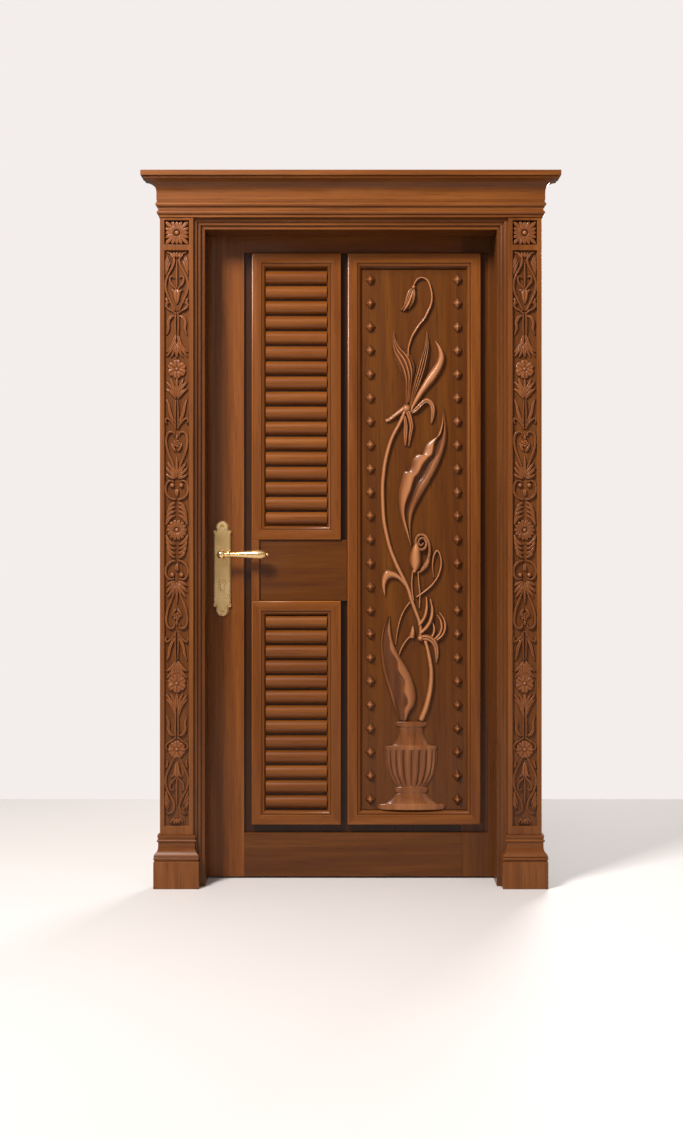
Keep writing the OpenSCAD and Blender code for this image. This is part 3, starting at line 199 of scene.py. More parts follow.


# tone, grain direction and edge rounding of each wooden node; the "shade" tone on the jambs and architraves and
# the darker "ground" tone on the hinge stile are painted shade
woodPieces = {
    "left_jamb": ("shade", "Z", 0.0008), "right_jamb": ("shade", "Z", 0.0008),
    "head_jamb": ("shade", "X", 0.0008), "left_architrave": ("shade", "Z", 0.0008),
    "right_architrave": ("shade", "Z", 0.0008), "head_architrave": ("frame", "X", 0.0008),
    "left_pilaster": ("frame", "Z", 0.0014), "right_pilaster": ("frame", "Z", 0.0014),
    "left_base": ("frame", "X", 0.0), "right_base": ("frame", "X", 0.0), "left_plinth": ("frame", "Z", 0.0018),
    "right_plinth": ("frame", "Z", 0.0018), "bed_mould": ("frame", "X", 0.0), "crown": ("frame", "X", 0.0),
    "lock_stile": ("leaf", "Z", 0.0), "hinge_stile": ("ground", "Z", 0.0), "top_rail": ("leaf", "X", 0.0008),
    "bottom_rail": ("ground", "X", 0.0008), "field_panel": ("ground", "Z", 0.0),
    "upper_slats": ("leaf", "X", 0.0), "lower_slats": ("leaf", "X", 0.0), "lock_panel": ("ground", "X", 0.0018),
    "flower_ground": ("ground", "Z", 0.0),
}

# sunk places that painted shade darkens: half their width, the depths it fades between, and its share
sunkParts = {
    "pilasterHalf": 0.039, "pilasterDepth": 0.010, "pilasterFade": 0.008, "pilasterShare": 0.34,
    "fieldHalf": 0.5, "fieldFrom": 0.001, "fieldTo": 0.006, "fieldShare": 0.80,
}
softEdge = {"weld": 0.00002, "flatAngle": 0.5, "edgeAngle": 40, "segments": 3}
grainStep, grainStart = 1.7, 0.4  # moves the grain from one wooden node to the next


def setMaterial(piece, material):
    piece.data.materials.clear()
    piece.data.materials.append(material)


def softenEdges(piece, width):
    weld = piece.modifiers.new("weld", "WELD")
    weld.merge_threshold = softEdge["weld"]
    flats = piece.modifiers.new("flats", "DECIMATE")
    flats.decimate_type = "DISSOLVE"
    flats.angle_limit = math.radians(softEdge["flatAngle"])
    edge = piece.modifiers.new("edge", "BEVEL")
    edge.width = width
    edge.segments = softEdge["segments"]
    edge.limit_method = "ANGLE"
    edge.angle_limit = math.radians(softEdge["edgeAngle"])


for index, (name, (tone, grain, edgeWidth)) in enumerate(woodPieces.items()):
    recess = None
    low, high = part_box(name)
    if name.endswith("pilaster"):
        floor = low.y + sunkParts["pilasterDepth"]
        recess = {"middle": (low.x + high.x) / 2, "half": sunkParts["pilasterHalf"],
                  "depths": (floor - sunkParts["pilasterFade"], floor),
                  "shares": (0.0, sunkParts["pilasterShare"])}
    elif name == "field_panel":
        recess = {"middle": 0.0, "half": sunkParts["fieldHalf"],
                  "depths": (low.y + sunkParts["fieldFrom"], low.y + sunkParts["fieldTo"]),
                  "shares": (sunkParts["fieldShare"], 0.0)}
    shift = grainStep * index + grainStart
    setMaterial(nodes[name], lacqueredWood("wood_" + name, tone, grain, shift, recess=recess))
    if edgeWidth > 0:
        softenEdges(nodes[name], edgeWidth)
print("wood dressed:", len(woodPieces), "nodes")

brass = polishedMetal("polishedBrass", (0.80, 0.54, 0.25), (0.70, 0.45, 0.19), 0.24)
steel = polishedMetal("brushedSteel", (0.56, 0.56, 0.55), (0.40, 0.40, 0.39), 0.36, (1.0, 1.0, 0.05))
metalPieces = {
    "brass": ["hinge_frame_plates", "hinge_pins", "hinge_leaf_plates", "lock_forend", "cylinder_body",
              "outside_plate", "inside_plate", "outside_lever", "inside_lever", "latch_bolt", "deadbolt",
              "cylinder_plug"],
    "steel": ["strike_plate", "frame_screws", "leaf_screws", "lock_case", "plate_bolts", "spindle", "follower"],
}
for metal, names in ((brass, metalPieces["brass"]), (steel, metalPieces["steel"])):
    for name in names:
        setMaterial(nodes[name], metal)
print("metal dressed:", sum(len(names) for names in metalPieces.values()), "nodes")


millimetre = 0.001

# carving tools: a sheet is laid between two drawn edges and raised by its cross-section
# cuts lie from the left edge (0) to the right edge (1) of a blade
blade = {
    "veinWidth": 0.075, "veinDepth": 0.45, "ridges": 4, "ridgeDepth": 0.30,
    "cupFloor": 0.27, "rimAt": 0.09, "rimWidth": 0.06, "rimRise": 0.50,
    "cupAt": 0.62, "cupJag": 0.05, "cupJags": 34, "cupEdge": 0.016, "cupRise": 0.60,
    "foldFloor": 0.16, "foldAt": 0.47, "foldJag": 0.05, "foldJags": 22, "foldEdge": 0.018, "foldRise": 0.80,
    "foldSwell": 0.20, "bandAt": 0.74, "bandEdge": 0.025, "bandRise": 0.70,
    "endRows": 0.65,
}


def spanAt(points, t):
    s = min(max(t, 0.0) * (len(points) - 1), len(points) - 1 - 1e-6)
    return int(s), s - int(s)


def onCurve(points, t):
    i, f = spanAt(points, t)
    a, b, c, d = points[max(i - 1, 0)], points[i], points[i + 1], points[min(i + 2, len(points) - 1)]
    return Vector([0.5 * (2 * b[k] + (c[k] - a[k]) * f + (2 * a[k] - 5 * b[k] + 4 * c[k] - d[k]) * f * f
                          + (3 * b[k] - a[k] - 3 * c[k] + d[k]) * f * f * f) for k in range(2)])


def onSteps(values, t):
    i, f = spanAt(values, t)
    return values[i] + (values[i + 1] - values[i]) * f * f * (3 - 2 * f)


def roundSection(s, t):
    return math.sqrt(max(0.0, 1 - (2 * s - 1) ** 2))


def risen(distance, softness):
    return 1 / (1 + math.exp(-distance / softness))


def creasedSection(s, t):  # leaf with a cut vein along its middle
    return roundSection(s, t) * (1 - blade["veinDepth"] * math.exp(-((s - 0.5) / blade["veinWidth"]) ** 2))


def ridgedSection(s, t):  # ridges side by side that run out at both ends
    depth = blade["ridgeDepth"]
    ridge = math.cos(2 * math.pi * blade["ridges"] * (s - 0.5)) * min(1.0, 3 * t, 4 - 4 * t)
    return roundSection(s, t) ** 0.5 * (1 - depth + depth * ridge)


def cuppedSection(s, t):  # thin rim on the left, a hollow and a broad jagged band on the right
    rim = math.exp(-((s - blade["rimAt"]) / blade["rimWidth"]) ** 2)
    jag = blade["cupJag"] * math.sin(blade["cupJags"] * t)
    band = risen(s - blade["cupAt"] - jag, blade["cupEdge"])
    height = blade["cupFloor"] + blade["rimRise"] * rim + blade["cupRise"] * band
    return roundSection(s, t) ** 0.45 * min(1.0, height)


def foldedSection(s, t):  # broad turned-over lobe on the left, a deep hollow and a flat band on the right
    jag = blade["foldJag"] * math.sin(blade["foldJags"] * t)
    lobe = risen(blade["foldAt"] + jag - s, blade["foldEdge"])
    swell = 1 - blade["foldSwell"] * (1 - math.sin(3.2 * s))
    band = risen(s - blade["bandAt"], blade["bandEdge"])
    height = blade["foldFloor"] + blade["foldRise"] * lobe * swell + blade["bandRise"] * band
    return roundSection(s, t) ** 0.45 * height


def endCap(t, share):
    inside = min(t, 1 - t) / share
    return 1.0 if inside >= 1 else math.sqrt(max(0.0, 1 - (1 - inside) ** 2))


def carveSheet(bm, crest, edgesAt, rise, section, steps, across, cap):
    sheet = bmesh.ops.create_grid(bm, x_segments=steps, y_segments=across, size=1.0)
    crowded = blade["endRows"]
    for vert in sheet["verts"]:
        along = math.cos(math.pi * (vert.co.x + 1) / 2) * (1 - crowded + crowded * abs(vert.co.x))
        t = min(max(0.5 - 0.5 * along, 0.0), 1.0)
        s = 0.5 - 0.5 * math.cos(math.pi * (vert.co.y + 1) / 2)
        left, right = edgesAt(t)
        point = left + (right - left) * s
        share = section(s, t) * endCap(t, cap)
        vert.co = (point.x, point.y, onSteps(rise, t) * share)
        vert[crest] = share
    return sheet["verts"]


def carveBlade(bm, crest, left, right, rise, section, steps, across, cap=0.05):
    carveSheet(bm, crest, lambda t: (onCurve(left, t), onCurve(right, t)), rise, section, steps, across, cap)


def carveStroke(bm, crest, path, widths, rise, section, steps, across=8, cap=0.03):
    def edgesAt(t):
        middle = onCurve(path, t)
        course = onCurve(path, min(t + 0.01, 1.0)) - onCurve(path, max(t - 0.01, 0.0))
        side = Vector((-course.y, course.x)).normalized() * onSteps(widths, t) / 2
        return middle + side, middle - side
    return carveSheet(bm, crest, edgesAt, rise, section, steps, across, cap)


def carveDome(bm, crest, centre, radius, rise, segments=16):
    dome = bmesh.ops.create_uvsphere(bm, u_segments=segments, v_segments=10, radius=1.0)
    for vert in dome["verts"]:
        vert[crest] = max(0.0, vert.co.z)
        vert.co = (centre[0] + vert.co.x * radius, centre[1] + vert.co.y * radius, max(vert.co.z, 0.0) * rise)


def carvePetals(bm, crest, centre, count, inner, outer, width, rise, turn=0.0):
    path = [(inner + (outer - inner) * share, 0) for share in (0, 0.35, 0.7, 1)]
    petal = carveStroke(bm, crest, path, [width * 0.45, width * 0.85, width, width * 0.55],
                        [rise * 0.7, rise, rise, rise * 0.8], creasedSection, 12, 8, 0.12)
    bmesh.ops.rotate(bm, verts=petal, cent=(0, 0, 0), matrix=Matrix.Rotation(turn, 3, "Z"))
    bmesh.ops.translate(bm, verts=petal, vec=(centre[0], centre[1], 0))
    geometry = list(petal) + list({f for v in petal for f in v.link_faces})
    bmesh.ops.spin(bm, geom=geometry, cent=(centre[0], centre[1], 0), axis=(0, 0, 1), dvec=(0, 0, 0),
                   angle=2 * math.pi * (count - 1) / count, steps=count - 1, use_duplicate=True)


def vertsOf(geometry):
    return [g for g in geometry if isinstance(g, bmesh.types.BMVert)]


def closeBacks(bm):
    bmesh.ops.remove_doubles(bm, verts=bm.verts, dist=1e-6)
    bmesh.ops.holes_fill(bm, edges=[e for e in bm.edges if e.is_boundary], sides=0)
    bmesh.ops.recalc_face_normals(bm, faces=bm.faces)


# stands the drawing up on a face: across goes to X, up to Z and the rise to the front
def standUp(origin, acrossScale=1.0, upScale=1.0):
    x, y, z = origin
    return Matrix(((acrossScale, 0, 0, x), (0, 0, -1, y), (0, upScale, 0, z), (0, 0, 0, 1)))


def newPiece(name, bm, body, replaced, materials, sharp=None):
    mesh = bpy.data.meshes.new(name)
    for face in bm.faces:
        face.smooth = True
    bm.to_mesh(mesh)
    bm.free()
    if sharp:
        mesh.set_sharp_from_angle(angle=math.radians(sharp))
    piece = bpy.data.objects.new(name, mesh)
    bpy.context.scene.collection.objects.link(piece)
    for material in materials:
        mesh.materials.append(material)
    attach(piece, body)
    if replaced:
        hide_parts(*replaced)


# each vertex carries a painted light value, from painted shade in the low places to a painted highlight on the
# raised ones
def carvingMesh():
    bm = bmesh.new()
    return bm, bm.verts.layers.float.new("crest")


# flower relief: drawn in units across from the vase's axis and up from its foot
flower = {
    "rise": 0.0200, "lift": 0.0003, "gloss": 0.27, "plainRows": 16, "cutRows": 34,
    "rows": {"stems": 10, "spirals": 12},
    "drawingWidth": 77.4, "drawingHeight": 540.0, "axisShift": -2.6, "studRoom": 0.093,
    "stems": [
        ([(2, 523), (4, 528), (7, 531), (10, 532), (14, 531), (17, 528), (19, 523), (20.5, 516), (20.5, 509),
          (19, 503), (16, 497), (13, 491), (8, 485), (4, 479), (0.5, 473), (-1.5, 467), (-3, 461), (-3.5, 448)],
         [1.7, 2.4, 2.6, 2.4], [0.55, 0.6, 0.6, 0.5], 60),
        ([(-6, 400), (-8, 395), (-12, 386), (-17, 377), (-21, 368), (-24, 358), (-26.5, 347), (-28, 336),
          (-29, 325), (-29, 313), (-28.5, 300), (-27.5, 288), (-25, 275), (-22, 263), (-18, 252), (-13, 241),
          (-8, 231), (-3, 220), (0, 210), (4, 199), (8, 188), (9.5, 178), (8.5, 170)],
         [4.4, 5.0, 5.2, 4.8, 4.2], [0.66, 0.7, 0.7, 0.66, 0.56], 80),
        ([(1.5, 240), (0.4, 228), (0.8, 218), (2.4, 208)], [1.8, 2.2, 1.8], [0.5, 0.5, 0.45], 16),
        ([(6.5, 239), (7.5, 226), (8.5, 216), (8, 200)], [1.8, 2.2, 1.8], [0.5, 0.5, 0.45], 16),
        ([(4, 212), (13, 218), (21, 225), (27, 234), (30, 245), (29, 254), (26, 259), (23, 255), (21.5, 248),
          (21.5, 240), (22.5, 231)], [2.0, 2.2, 2.2, 1.0], [0.5, 0.55, 0.6, 0.3], 46),
        ([(7, 184), (13, 192), (15.4, 202), (15, 213)], [4.0, 3.8, 1.8], [0.75, 0.8, 0.5], 22),
        ([(8, 176), (15, 182), (19.5, 190), (21, 200), (19, 211)], [4.2, 4.4, 1.8], [0.8, 0.9, 0.5], 24),
        ([(23, 170), (28.5, 176), (30.5, 183), (29, 190), (25.5, 195)], [2.8, 3.4, 1.2], [0.6, 0.75, 0.4], 22),
        ([(25, 169), (31.5, 175), (34, 183), (32.6, 190.5), (28, 197.5)], [2.8, 3.4, 1.2], [0.6, 0.7, 0.4], 22),
        ([(20, 172), (22.6, 177), (22.8, 182.5), (21, 188)], [2.6, 3.2, 1.2], [0.6, 0.7, 0.4], 16),
        ([(-1, 208), (-7, 200), (-11, 191), (-13.5, 182), (-15, 173), (-16, 164)], [2.0, 1.9, 1.0],
         [0.5, 0.5, 0.3], 24),
        ([(-13, 152), (-11, 159), (-8, 165), (-4, 170.5), (0, 174)], [1.4, 2.2, 2.0], [0.4, 0.5, 0.5], 18),
        ([(9, 88), (14, 100), (17, 110), (19, 120), (20, 130), (20, 140), (18.5, 150), (16.5, 160),
          (13.5, 170)], [7.0, 6.2, 5.2, 4.0], [0.72, 0.74, 0.7, 0.62], 36),
    ],
    "blades": [
        ("creased", [(0.5, 522), (-3.5, 519), (-6.5, 511), (-8, 504), (-11.5, 499.5)],
         [(2, 521), (-0.2, 516), (-2, 510), (-5, 504), (-10.5, 498.5)], [0.6, 0.8, 0.7, 0.4], 18),
        ("creased", [(2, 520), (0.4, 513), (-1.2, 507), (-3.8, 501)],
         [(3.2, 521.5), (4.2, 516), (3.4, 510), (1.2, 505.2), (-2.6, 500)], [0.6, 0.8, 0.7, 0.4], 18),
        ("round", [(1.5, 521), (-1.8, 514), (-4, 508), (-7, 502.5), (-9, 498.5)],
         [(3, 520), (1.6, 513), (-0.4, 507), (-3.7, 501.5), (-7.5, 498)], [0.7, 0.95, 0.85, 0.4], 18),
        ("round",
         [(-3, 398), (3.2, 412), (9.2, 423.5), (16, 434.5), (21.5, 442.5), (25, 448.5), (26.4, 454),
          (26.2, 459.5), (25, 464.5), (23, 469)],
         [(-1, 394), (3, 402), (10, 412), (18, 422), (25, 430), (30, 438), (33, 445), (34.2, 452), (32, 459),
          (28, 465), (23.4, 469.6)], [0.5, 0.75, 0.85, 0.8, 0.45], 44),
        ("ridged", [(-3, 399), (-0.5, 415), (2.5, 430), (5, 439), (7.5, 449), (11, 459), (14, 469), (15, 479)],
         [(1, 401), (5, 415), (10, 426), (14, 438), (16.5, 448), (18.2, 460), (17.6, 470), (15.6, 479)],
         [0.6, 0.9, 0.95, 0.8, 0.4], 40),
        ("ridged",
         [(-6, 402), (-6.5, 418), (-8, 428), (-11, 438), (-15, 447), (-18.5, 455), (-19.7, 465), (-18, 479)],
         [(-1, 407), (1, 425), (3, 438), (2.5, 445), (0.5, 452), (-4, 458), (-10, 463), (-15, 470),
          (-17.4, 479)], [0.7, 1.0, 1.0, 0.85, 0.4], 44),
        ("creased",
         [(-2, 397), (5, 404), (11, 410), (16, 412), (21, 409), (24, 404), (24.3, 398), (22.5, 390), (20, 385)],
         [(0.5, 395), (4.5, 396.5), (8.6, 400.2), (12.4, 404.5), (15, 406), (17.6, 404.2), (19.2, 399.8),
          (19.5, 393), (19.2, 386)], [0.6, 0.8, 0.8, 0.7, 0.4], 40),
        ("round", [(-6, 406), (-13, 400), (-19, 395.4), (-23, 392), (-27, 390.6)],
         [(-4.5, 400), (-10.5, 395.4), (-16.5, 391.2), (-21.2, 388), (-25.2, 386.4)], [0.7, 0.75, 0.6, 0.4],
         24),
        ("creased", [(-9.5, 396), (-8, 386), (-8.4, 376), (-7, 363)],
         [(-5, 393), (-3, 383), (-3.6, 373), (-5.4, 363)], [0.7, 0.65, 0.5, 0.35], 22),
        ("creased", [(-7, 398), (-4, 390), (-2.5, 382), (-3.2, 373), (-3.4, 362.5)],
         [(-1, 400), (1.6, 391), (2.6, 383), (0.4, 373), (-2.2, 362.5)], [0.8, 0.8, 0.65, 0.4], 24),
        ("folded",
         [(0, 261), (-3, 270), (-6, 278), (-9, 286), (-11.5, 295), (-13, 304), (-13.6, 312), (-13, 320),
          (-11, 329), (-7.5, 338.5), (-3.5, 338.5), (-0.8, 342.5), (1, 350), (5.5, 355.5), (9.5, 354),
          (12.2, 358), (14.5, 364.5), (19.5, 369.5), (24.5, 371.5), (28.5, 380), (31, 390), (32, 402)],
         [(1, 261), (-0.6, 275), (-0.4, 285), (1.5, 295), (6, 306), (12, 317), (18, 327), (24, 338), (29, 348),
          (33, 360), (35.2, 370), (35.4, 380), (34.2, 391), (32.6, 402)],
         [0.5, 0.75, 0.95, 1.0, 0.95, 0.7, 0.4], 90),
        ("round", [(2.4, 238), (-1.4, 244), (-2.2, 252), (0.2, 261), (4.6, 269)],
         [(5, 238), (9.4, 244), (10.4, 252), (9.2, 261), (5.6, 269)], [0.75, 1.0, 1.0, 0.6], 26),
        ("round",
         [(-3, 225), (-12, 235), (-19, 239), (-25.5, 240.5), (-29.2, 235), (-30.2, 227), (-29.2, 220),
          (-26.8, 213)],
         [(-5, 220), (-12, 228.5), (-18.5, 231), (-23, 228.5), (-25.2, 224), (-25.8, 219), (-26.1, 213)],
         [0.5, 0.7, 0.75, 0.65, 0.35], 34),
        ("creased", [(8, 175), (14, 175.5), (20, 174), (25, 170), (27.8, 163), (27.8, 155), (25.4, 146)],
         [(8, 168), (14, 168.5), (18.5, 166.5), (21.5, 162), (23.3, 155), (24.6, 146)],
         [0.7, 0.85, 0.8, 0.6, 0.35], 32),
        ("round", [(-3, 171.5), (-1.4, 178), (1, 184)], [(3.5, 171), (4, 177.5), (2, 184)], [0.5, 0.7, 0.4],
         14),
        ("cupped",
         [(-12, 88), (-15, 95), (-19, 106), (-23, 118), (-27, 130), (-30, 142), (-31.5, 155), (-31.5, 165),
          (-30, 176), (-27, 186), (-22.5, 194)],
         [(-5, 88), (-2, 97), (3, 104), (5, 113), (3, 125), (-1, 136), (-7, 146), (-14, 158), (-19, 170),
          (-21, 182), (-21.7, 194)], [0.75, 0.9, 1.0, 0.9, 0.45], 60),
    ],
    "spirals": [
        ([(9, 239), (13, 244), (16.5, 250), (18.2, 257), (17.8, 265), (15, 272), (10.5, 275), (6, 273),
          (4.2, 268), (5.6, 262.4), (10, 260), (14, 262.6), (14.8, 267.4), (12, 271.4), (8.4, 270.6),
          (7, 267.4), (8.6, 264.4), (11, 264.8), (11.6, 267.2)], [2.6, 3.2, 3.2, 3.0, 2.2],
         [0.5, 0.75, 0.85, 0.95, 0.9], 96),
        ([(7, 237), (11, 239.5), (15, 244), (17.6, 250), (18.4, 255)], [2.6, 3.4, 1.2], [0.6, 0.7, 0.4], 22),
    ],
    "domes": [((2.2, 522.5), 2.3, 0.75), ((-5, 401), 5.0, 0.95), ((9, 171.5), 3.6, 0.95),
              ((3, 238.5), 2.6, 0.8)],
}
sections = {"round": roundSection, "creased": creasedSection, "ridged": ridgedSection,
            "cupped": cuppedSection, "folded": foldedSection}

groundLow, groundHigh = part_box("flower_ground")
unitX = (groundHigh.x - groundLow.x - flower["studRoom"]) / flower["drawingWidth"]
unitZ = (groundHigh.z - groundLow.z) / flower["drawingHeight"]
flowerAxis = (groundLow.x + groundHigh.x) / 2 + flower["axisShift"] * unitX

# vase: its outline from the foot up, spun round and pressed flat, with gadroons on the body
vase = {
    "outline": [(0, 0), (33.5, 0), (34.5, 2), (34, 4.5), (32, 5.6), (27, 6), (26, 6.4), (22, 9), (18.5, 12),
                (16, 15.4), (14.6, 16.2), (16.4, 17.2), (17.2, 19.5), (16.4, 21.8), (14.2, 22.8), (15.2, 23.6),
                (19, 28), (23, 35), (25.2, 43), (26, 52), (26.2, 59), (26.8, 61), (26.8, 62.4), (25.6, 63.6),
                (20, 64), (18.4, 65), (15.6, 69), (13, 74), (12, 78), (12.2, 82), (14.6, 83), (16.2, 84.2),
                (16.6, 85.8), (16, 87.4), (14.5, 88), (0, 88)],
    "gadroons": 20, "groove": 0.42, "bodyFrom": 23.4, "bodyTo": 60.0, "depth": 0.0172, "turns": 240,
    "sideShade": 0.28, "frontShine": 0.56, "grooveShade": 0.04, "lobeShine": 0.76,
    "bodySide": 0.55, "bulge": 0.02, "fadeTop": 9, "fadeFoot": 5, "footSwell": 0.35,
}


def carveVase(bm, crest):
    outline = [bm.verts.new((x, y, 0)) for x, y in vase["outline"]]
    edges = [bm.edges.new(pair) for pair in zip(outline, outline[1:])]
    bmesh.ops.subdivide_edges(bm, edges=edges, cuts=2)
    bmesh.ops.spin(bm, geom=list(bm.verts) + list(bm.edges), cent=(0, 0, 0), axis=(0, 1, 0), dvec=(0, 0, 0),
                   angle=2 * math.pi, steps=vase["turns"], use_merge=True)
    bmesh.ops.remove_doubles(bm, verts=bm.verts, dist=1e-4)
    reach = max(x for x, y in vase["outline"])
    bodyFrom, bodyTo, bodySide = vase["bodyFrom"], vase["bodyTo"], vase["bodySide"]
    for vert in bm.verts:
        angle = math.atan2(vert.co.z, vert.co.x)
        radius = math.hypot(vert.co.x, vert.co.z)
        # painted light: painted shade on the sides and in the gadroon grooves, painted highlight towards the
        # front and on the lobes
        height = max(0.0, math.sin(angle)) * math.sqrt(radius / reach)
        vert[crest] = vase["sideShade"] + vase["frontShine"] * height
        if bodyFrom <= vert.co.y <= bodyTo:
            place = (vert.co.y - bodyFrom) / (bodyTo - bodyFrom)
            swell = min(1.0, vase["fadeTop"] * (1 - place), vase["fadeFoot"] * place + vase["footSwell"])
            lobe = math.sqrt(abs(math.sin(angle * vase["gadroons"] / 2)))
            shine = vase["grooveShade"] + vase["lobeShine"] * lobe
            vert[crest] = shine * (bodySide + (1 - bodySide) * height)
            height *= 1 - vase["groove"] * swell * (1 - lobe)
            vert.co.x *= 1 + vase["bulge"] * swell * (lobe - 0.5)
        vert.co = (vert.co.x, vert.co.y, height * vase["depth"])


def buildFlowerRelief():
    bm, crest = carvingMesh()
    carveVase(bm, crest)
    rise = flower["rise"]
    for group, section in (("stems", roundSection), ("spirals", creasedSection)):
        for path, widths, rises, steps in flower[group]:
            heights = [r * rise for r in rises]
            carveStroke(bm, crest, path, widths, heights, section, steps, flower["rows"][group])
    for section, left, right, rises, steps in flower["blades"]:
        rows = flower["cutRows" if section in ("ridged", "folded", "cupped") else "plainRows"]
        carveBlade(bm, crest, left, right, [r * rise for r in rises], sections[section], steps, rows)
    for centre, radius, share in flower["domes"]:
        carveDome(bm, crest, centre, radius, share * rise)
    bmesh.ops.scale(bm, verts=bm.verts, vec=(unitX, unitZ, 1.0))
    closeBacks(bm)
    foot = (flowerAxis, groundLow.y + flower["lift"], groundLow.z)
    bmesh.ops.transform(bm, verts=bm.verts, matrix=standUp(foot))
    wood = lacqueredWood("carvedFlower", "carved", "Z", 3.3, crest=True, gloss=flower["gloss"])
    newPiece("flowerRelief", bm, "leaf", ["flower_carving"], [wood])


buildFlowerRelief()
print("flower relief carved")

# mitred mouldings round the louvres and the flower
# profile: share of the width, height above the field, and its painted light: painted highlight on the edges,
# painted shade at the chamfer and the foot
moulding = {
    "profile": [(0.0, 0.0, 0.25), (0.0, 0.0195, 0.6), (0.02, 0.0220, 0.95), (0.06, 0.0236, 0.85),
                (0.11, 0.0240, 0.64), (0.66, 0.0240, 0.64), (0.69, 0.0232, 0.92), (0.705, 0.0205, 0.15),
                (0.76, 0.0205, 0.3), (0.83, 0.0190, 0.62), (0.91, 0.0150, 0.66), (0.97, 0.0105, 0.4),
                (1.0, 0.0095, 0.1), (1.0, 0.0, 0.1)],
    "wall": 0.0003, "flat": 0.64, "stripRise": 0.0240, "stripLap": 0.012, "stripOverrun": 0.002, "sharp": 40,
    "louvre": ["louvre_outer_stile", "upper_inner_stile", "lower_inner_stile", "upper_louvre_top_rail",
               "upper_louvre_bottom_rail", "lower_louvre_top_rail", "lower_louvre_bottom_rail"],
    "flower": ["flower_left_stile", "flower_right_stile", "flower_top_rail", "flower_bottom_rail"],
}


def mouldedRing(bm, crest, outer, inner):
    (x0, z0, x1, z1), (u0, w0, u1, w1) = outer, inner
    grid = bmesh.ops.create_grid(bm, x_segments=1, y_segments=1, size=0.5)["verts"]
    bmesh.ops.scale(bm, verts=grid, vec=(x1 - x0, z1 - z0, 1.0))
    bmesh.ops.translate(bm, verts=grid, vec=((x0 + x1) / 2, (z0 + z1) / 2, 0.0))
    middle = grid[0].link_faces[0]
    ring = set(grid)
    gone = lastRise = 0.0
    for vert in grid:
        vert[crest] = moulding["profile"][0][2]
    for share, rise, paintedLightShare in moulding["profile"][1:]:
        thickness = max(share * (u0 - x0) - gone, moulding["wall"])
        bmesh.ops.inset_region(bm, faces=[middle], thickness=thickness, depth=rise - lastRise,
                               use_even_offset=True, use_boundary=True)
        ring.update(middle.verts)
        for vert in middle.verts:
            vert[crest] = paintedLightShare
        gone += thickness
        lastRise = rise
    bmesh.ops.delete(bm, geom=[middle], context="FACES_ONLY")
    for vert in ring:
        left, low = vert.co.x < (x0 + x1) / 2, vert.co.y < (z0 + z1) / 2
        share = (vert.co.x - x0 if left else x1 - vert.co.x) / gone
        vert.co.x = x0 + share * (u0 - x0) if left else x1 - share * (x1 - u1)
        vert.co.y = z0 + share * (w0 - z0) if low else z1 - share * (z1 - w1)
    bmesh.ops.bridge_loops(bm, edges=[e for e in bm.edges if e.is_boundary])


def buildMouldings():
    woods = [lacqueredWood("stileWood", "leaf", "Z", 21.3, crest=True),
             lacqueredWood("railWood", "leaf", "X", 17.9, crest=True)]
    column, upperStile, lowerStile, topRail, upperFoot, lowerHead, lowerFoot = map(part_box, moulding["louvre"])
    left, right = column[0].x, upperStile[1].x
    bm, crest = carvingMesh()
    mouldedRing(bm, crest, (left, upperFoot[0].z, right, column[1].z),
                (column[1].x, upperFoot[1].z, upperStile[0].x, topRail[0].z))
    mouldedRing(bm, crest, (left, column[0].z, right, lowerHead[1].z),
                (column[1].x, lowerFoot[1].z, lowerStile[0].x, lowerHead[0].z))
    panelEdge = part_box("lock_panel")[0].x + moulding["stripLap"]  # the outer stile runs on past the panel
    low, high, rise = lowerHead[1].z, upperFoot[0].z, moulding["stripRise"]
    strip = bmesh.ops.create_cube(bm, size=1.0)["verts"]
    for vert in strip:
        vert[crest] = moulding["flat"]
    bmesh.ops.scale(bm, verts=strip, vec=(panelEdge - left, high - low + moulding["stripOverrun"], rise))
    bmesh.ops.translate(bm, verts=strip, vec=((panelEdge + left) / 2, (high + low) / 2, rise / 2))
    finishMoulding("louvreFrames", bm, "louvre", woods)
    leftStile, rightStile, flowerTop, flowerFoot = map(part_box, moulding["flower"])
    bm, crest = carvingMesh()
    mouldedRing(bm, crest, (leftStile[0].x, flowerFoot[0].z, rightStile[1].x, flowerTop[1].z),
                (leftStile[1].x, flowerFoot[1].z, rightStile[0].x, flowerTop[0].z))
    finishMoulding("flowerFrame", bm, "flower", woods)


def finishMoulding(name, bm, group, woods):
    bmesh.ops.recalc_face_normals(bm, faces=bm.faces)
    bmesh.ops.transform(bm, verts=bm.verts, matrix=standUp((0.0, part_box("field_panel")[0].y, 0.0)))
    for face in bm.faces:  # the grain runs along each stile and rail
        spanX, spanZ = (max(v.co[k] for v in face.verts) - min(v.co[k] for v in face.verts) for k in (0, 2))
        face.material_index = 1 if spanX > spanZ else 0
    newPiece(name, bm, "leaf", moulding[group], woods, moulding["sharp"])


buildMouldings()
print("frames moulded")

# diamond studs in a column at each side of the flower
studs = {
    "width": 0.037, "height": 0.042, "rise": 0.0185, "inset": 0.0295, "pitch": 0.0775, "tip": 0.08,
    "rounding": 0.0018, "footShade": 0.04, "gloss": 0.20, "sharp": 30,
}


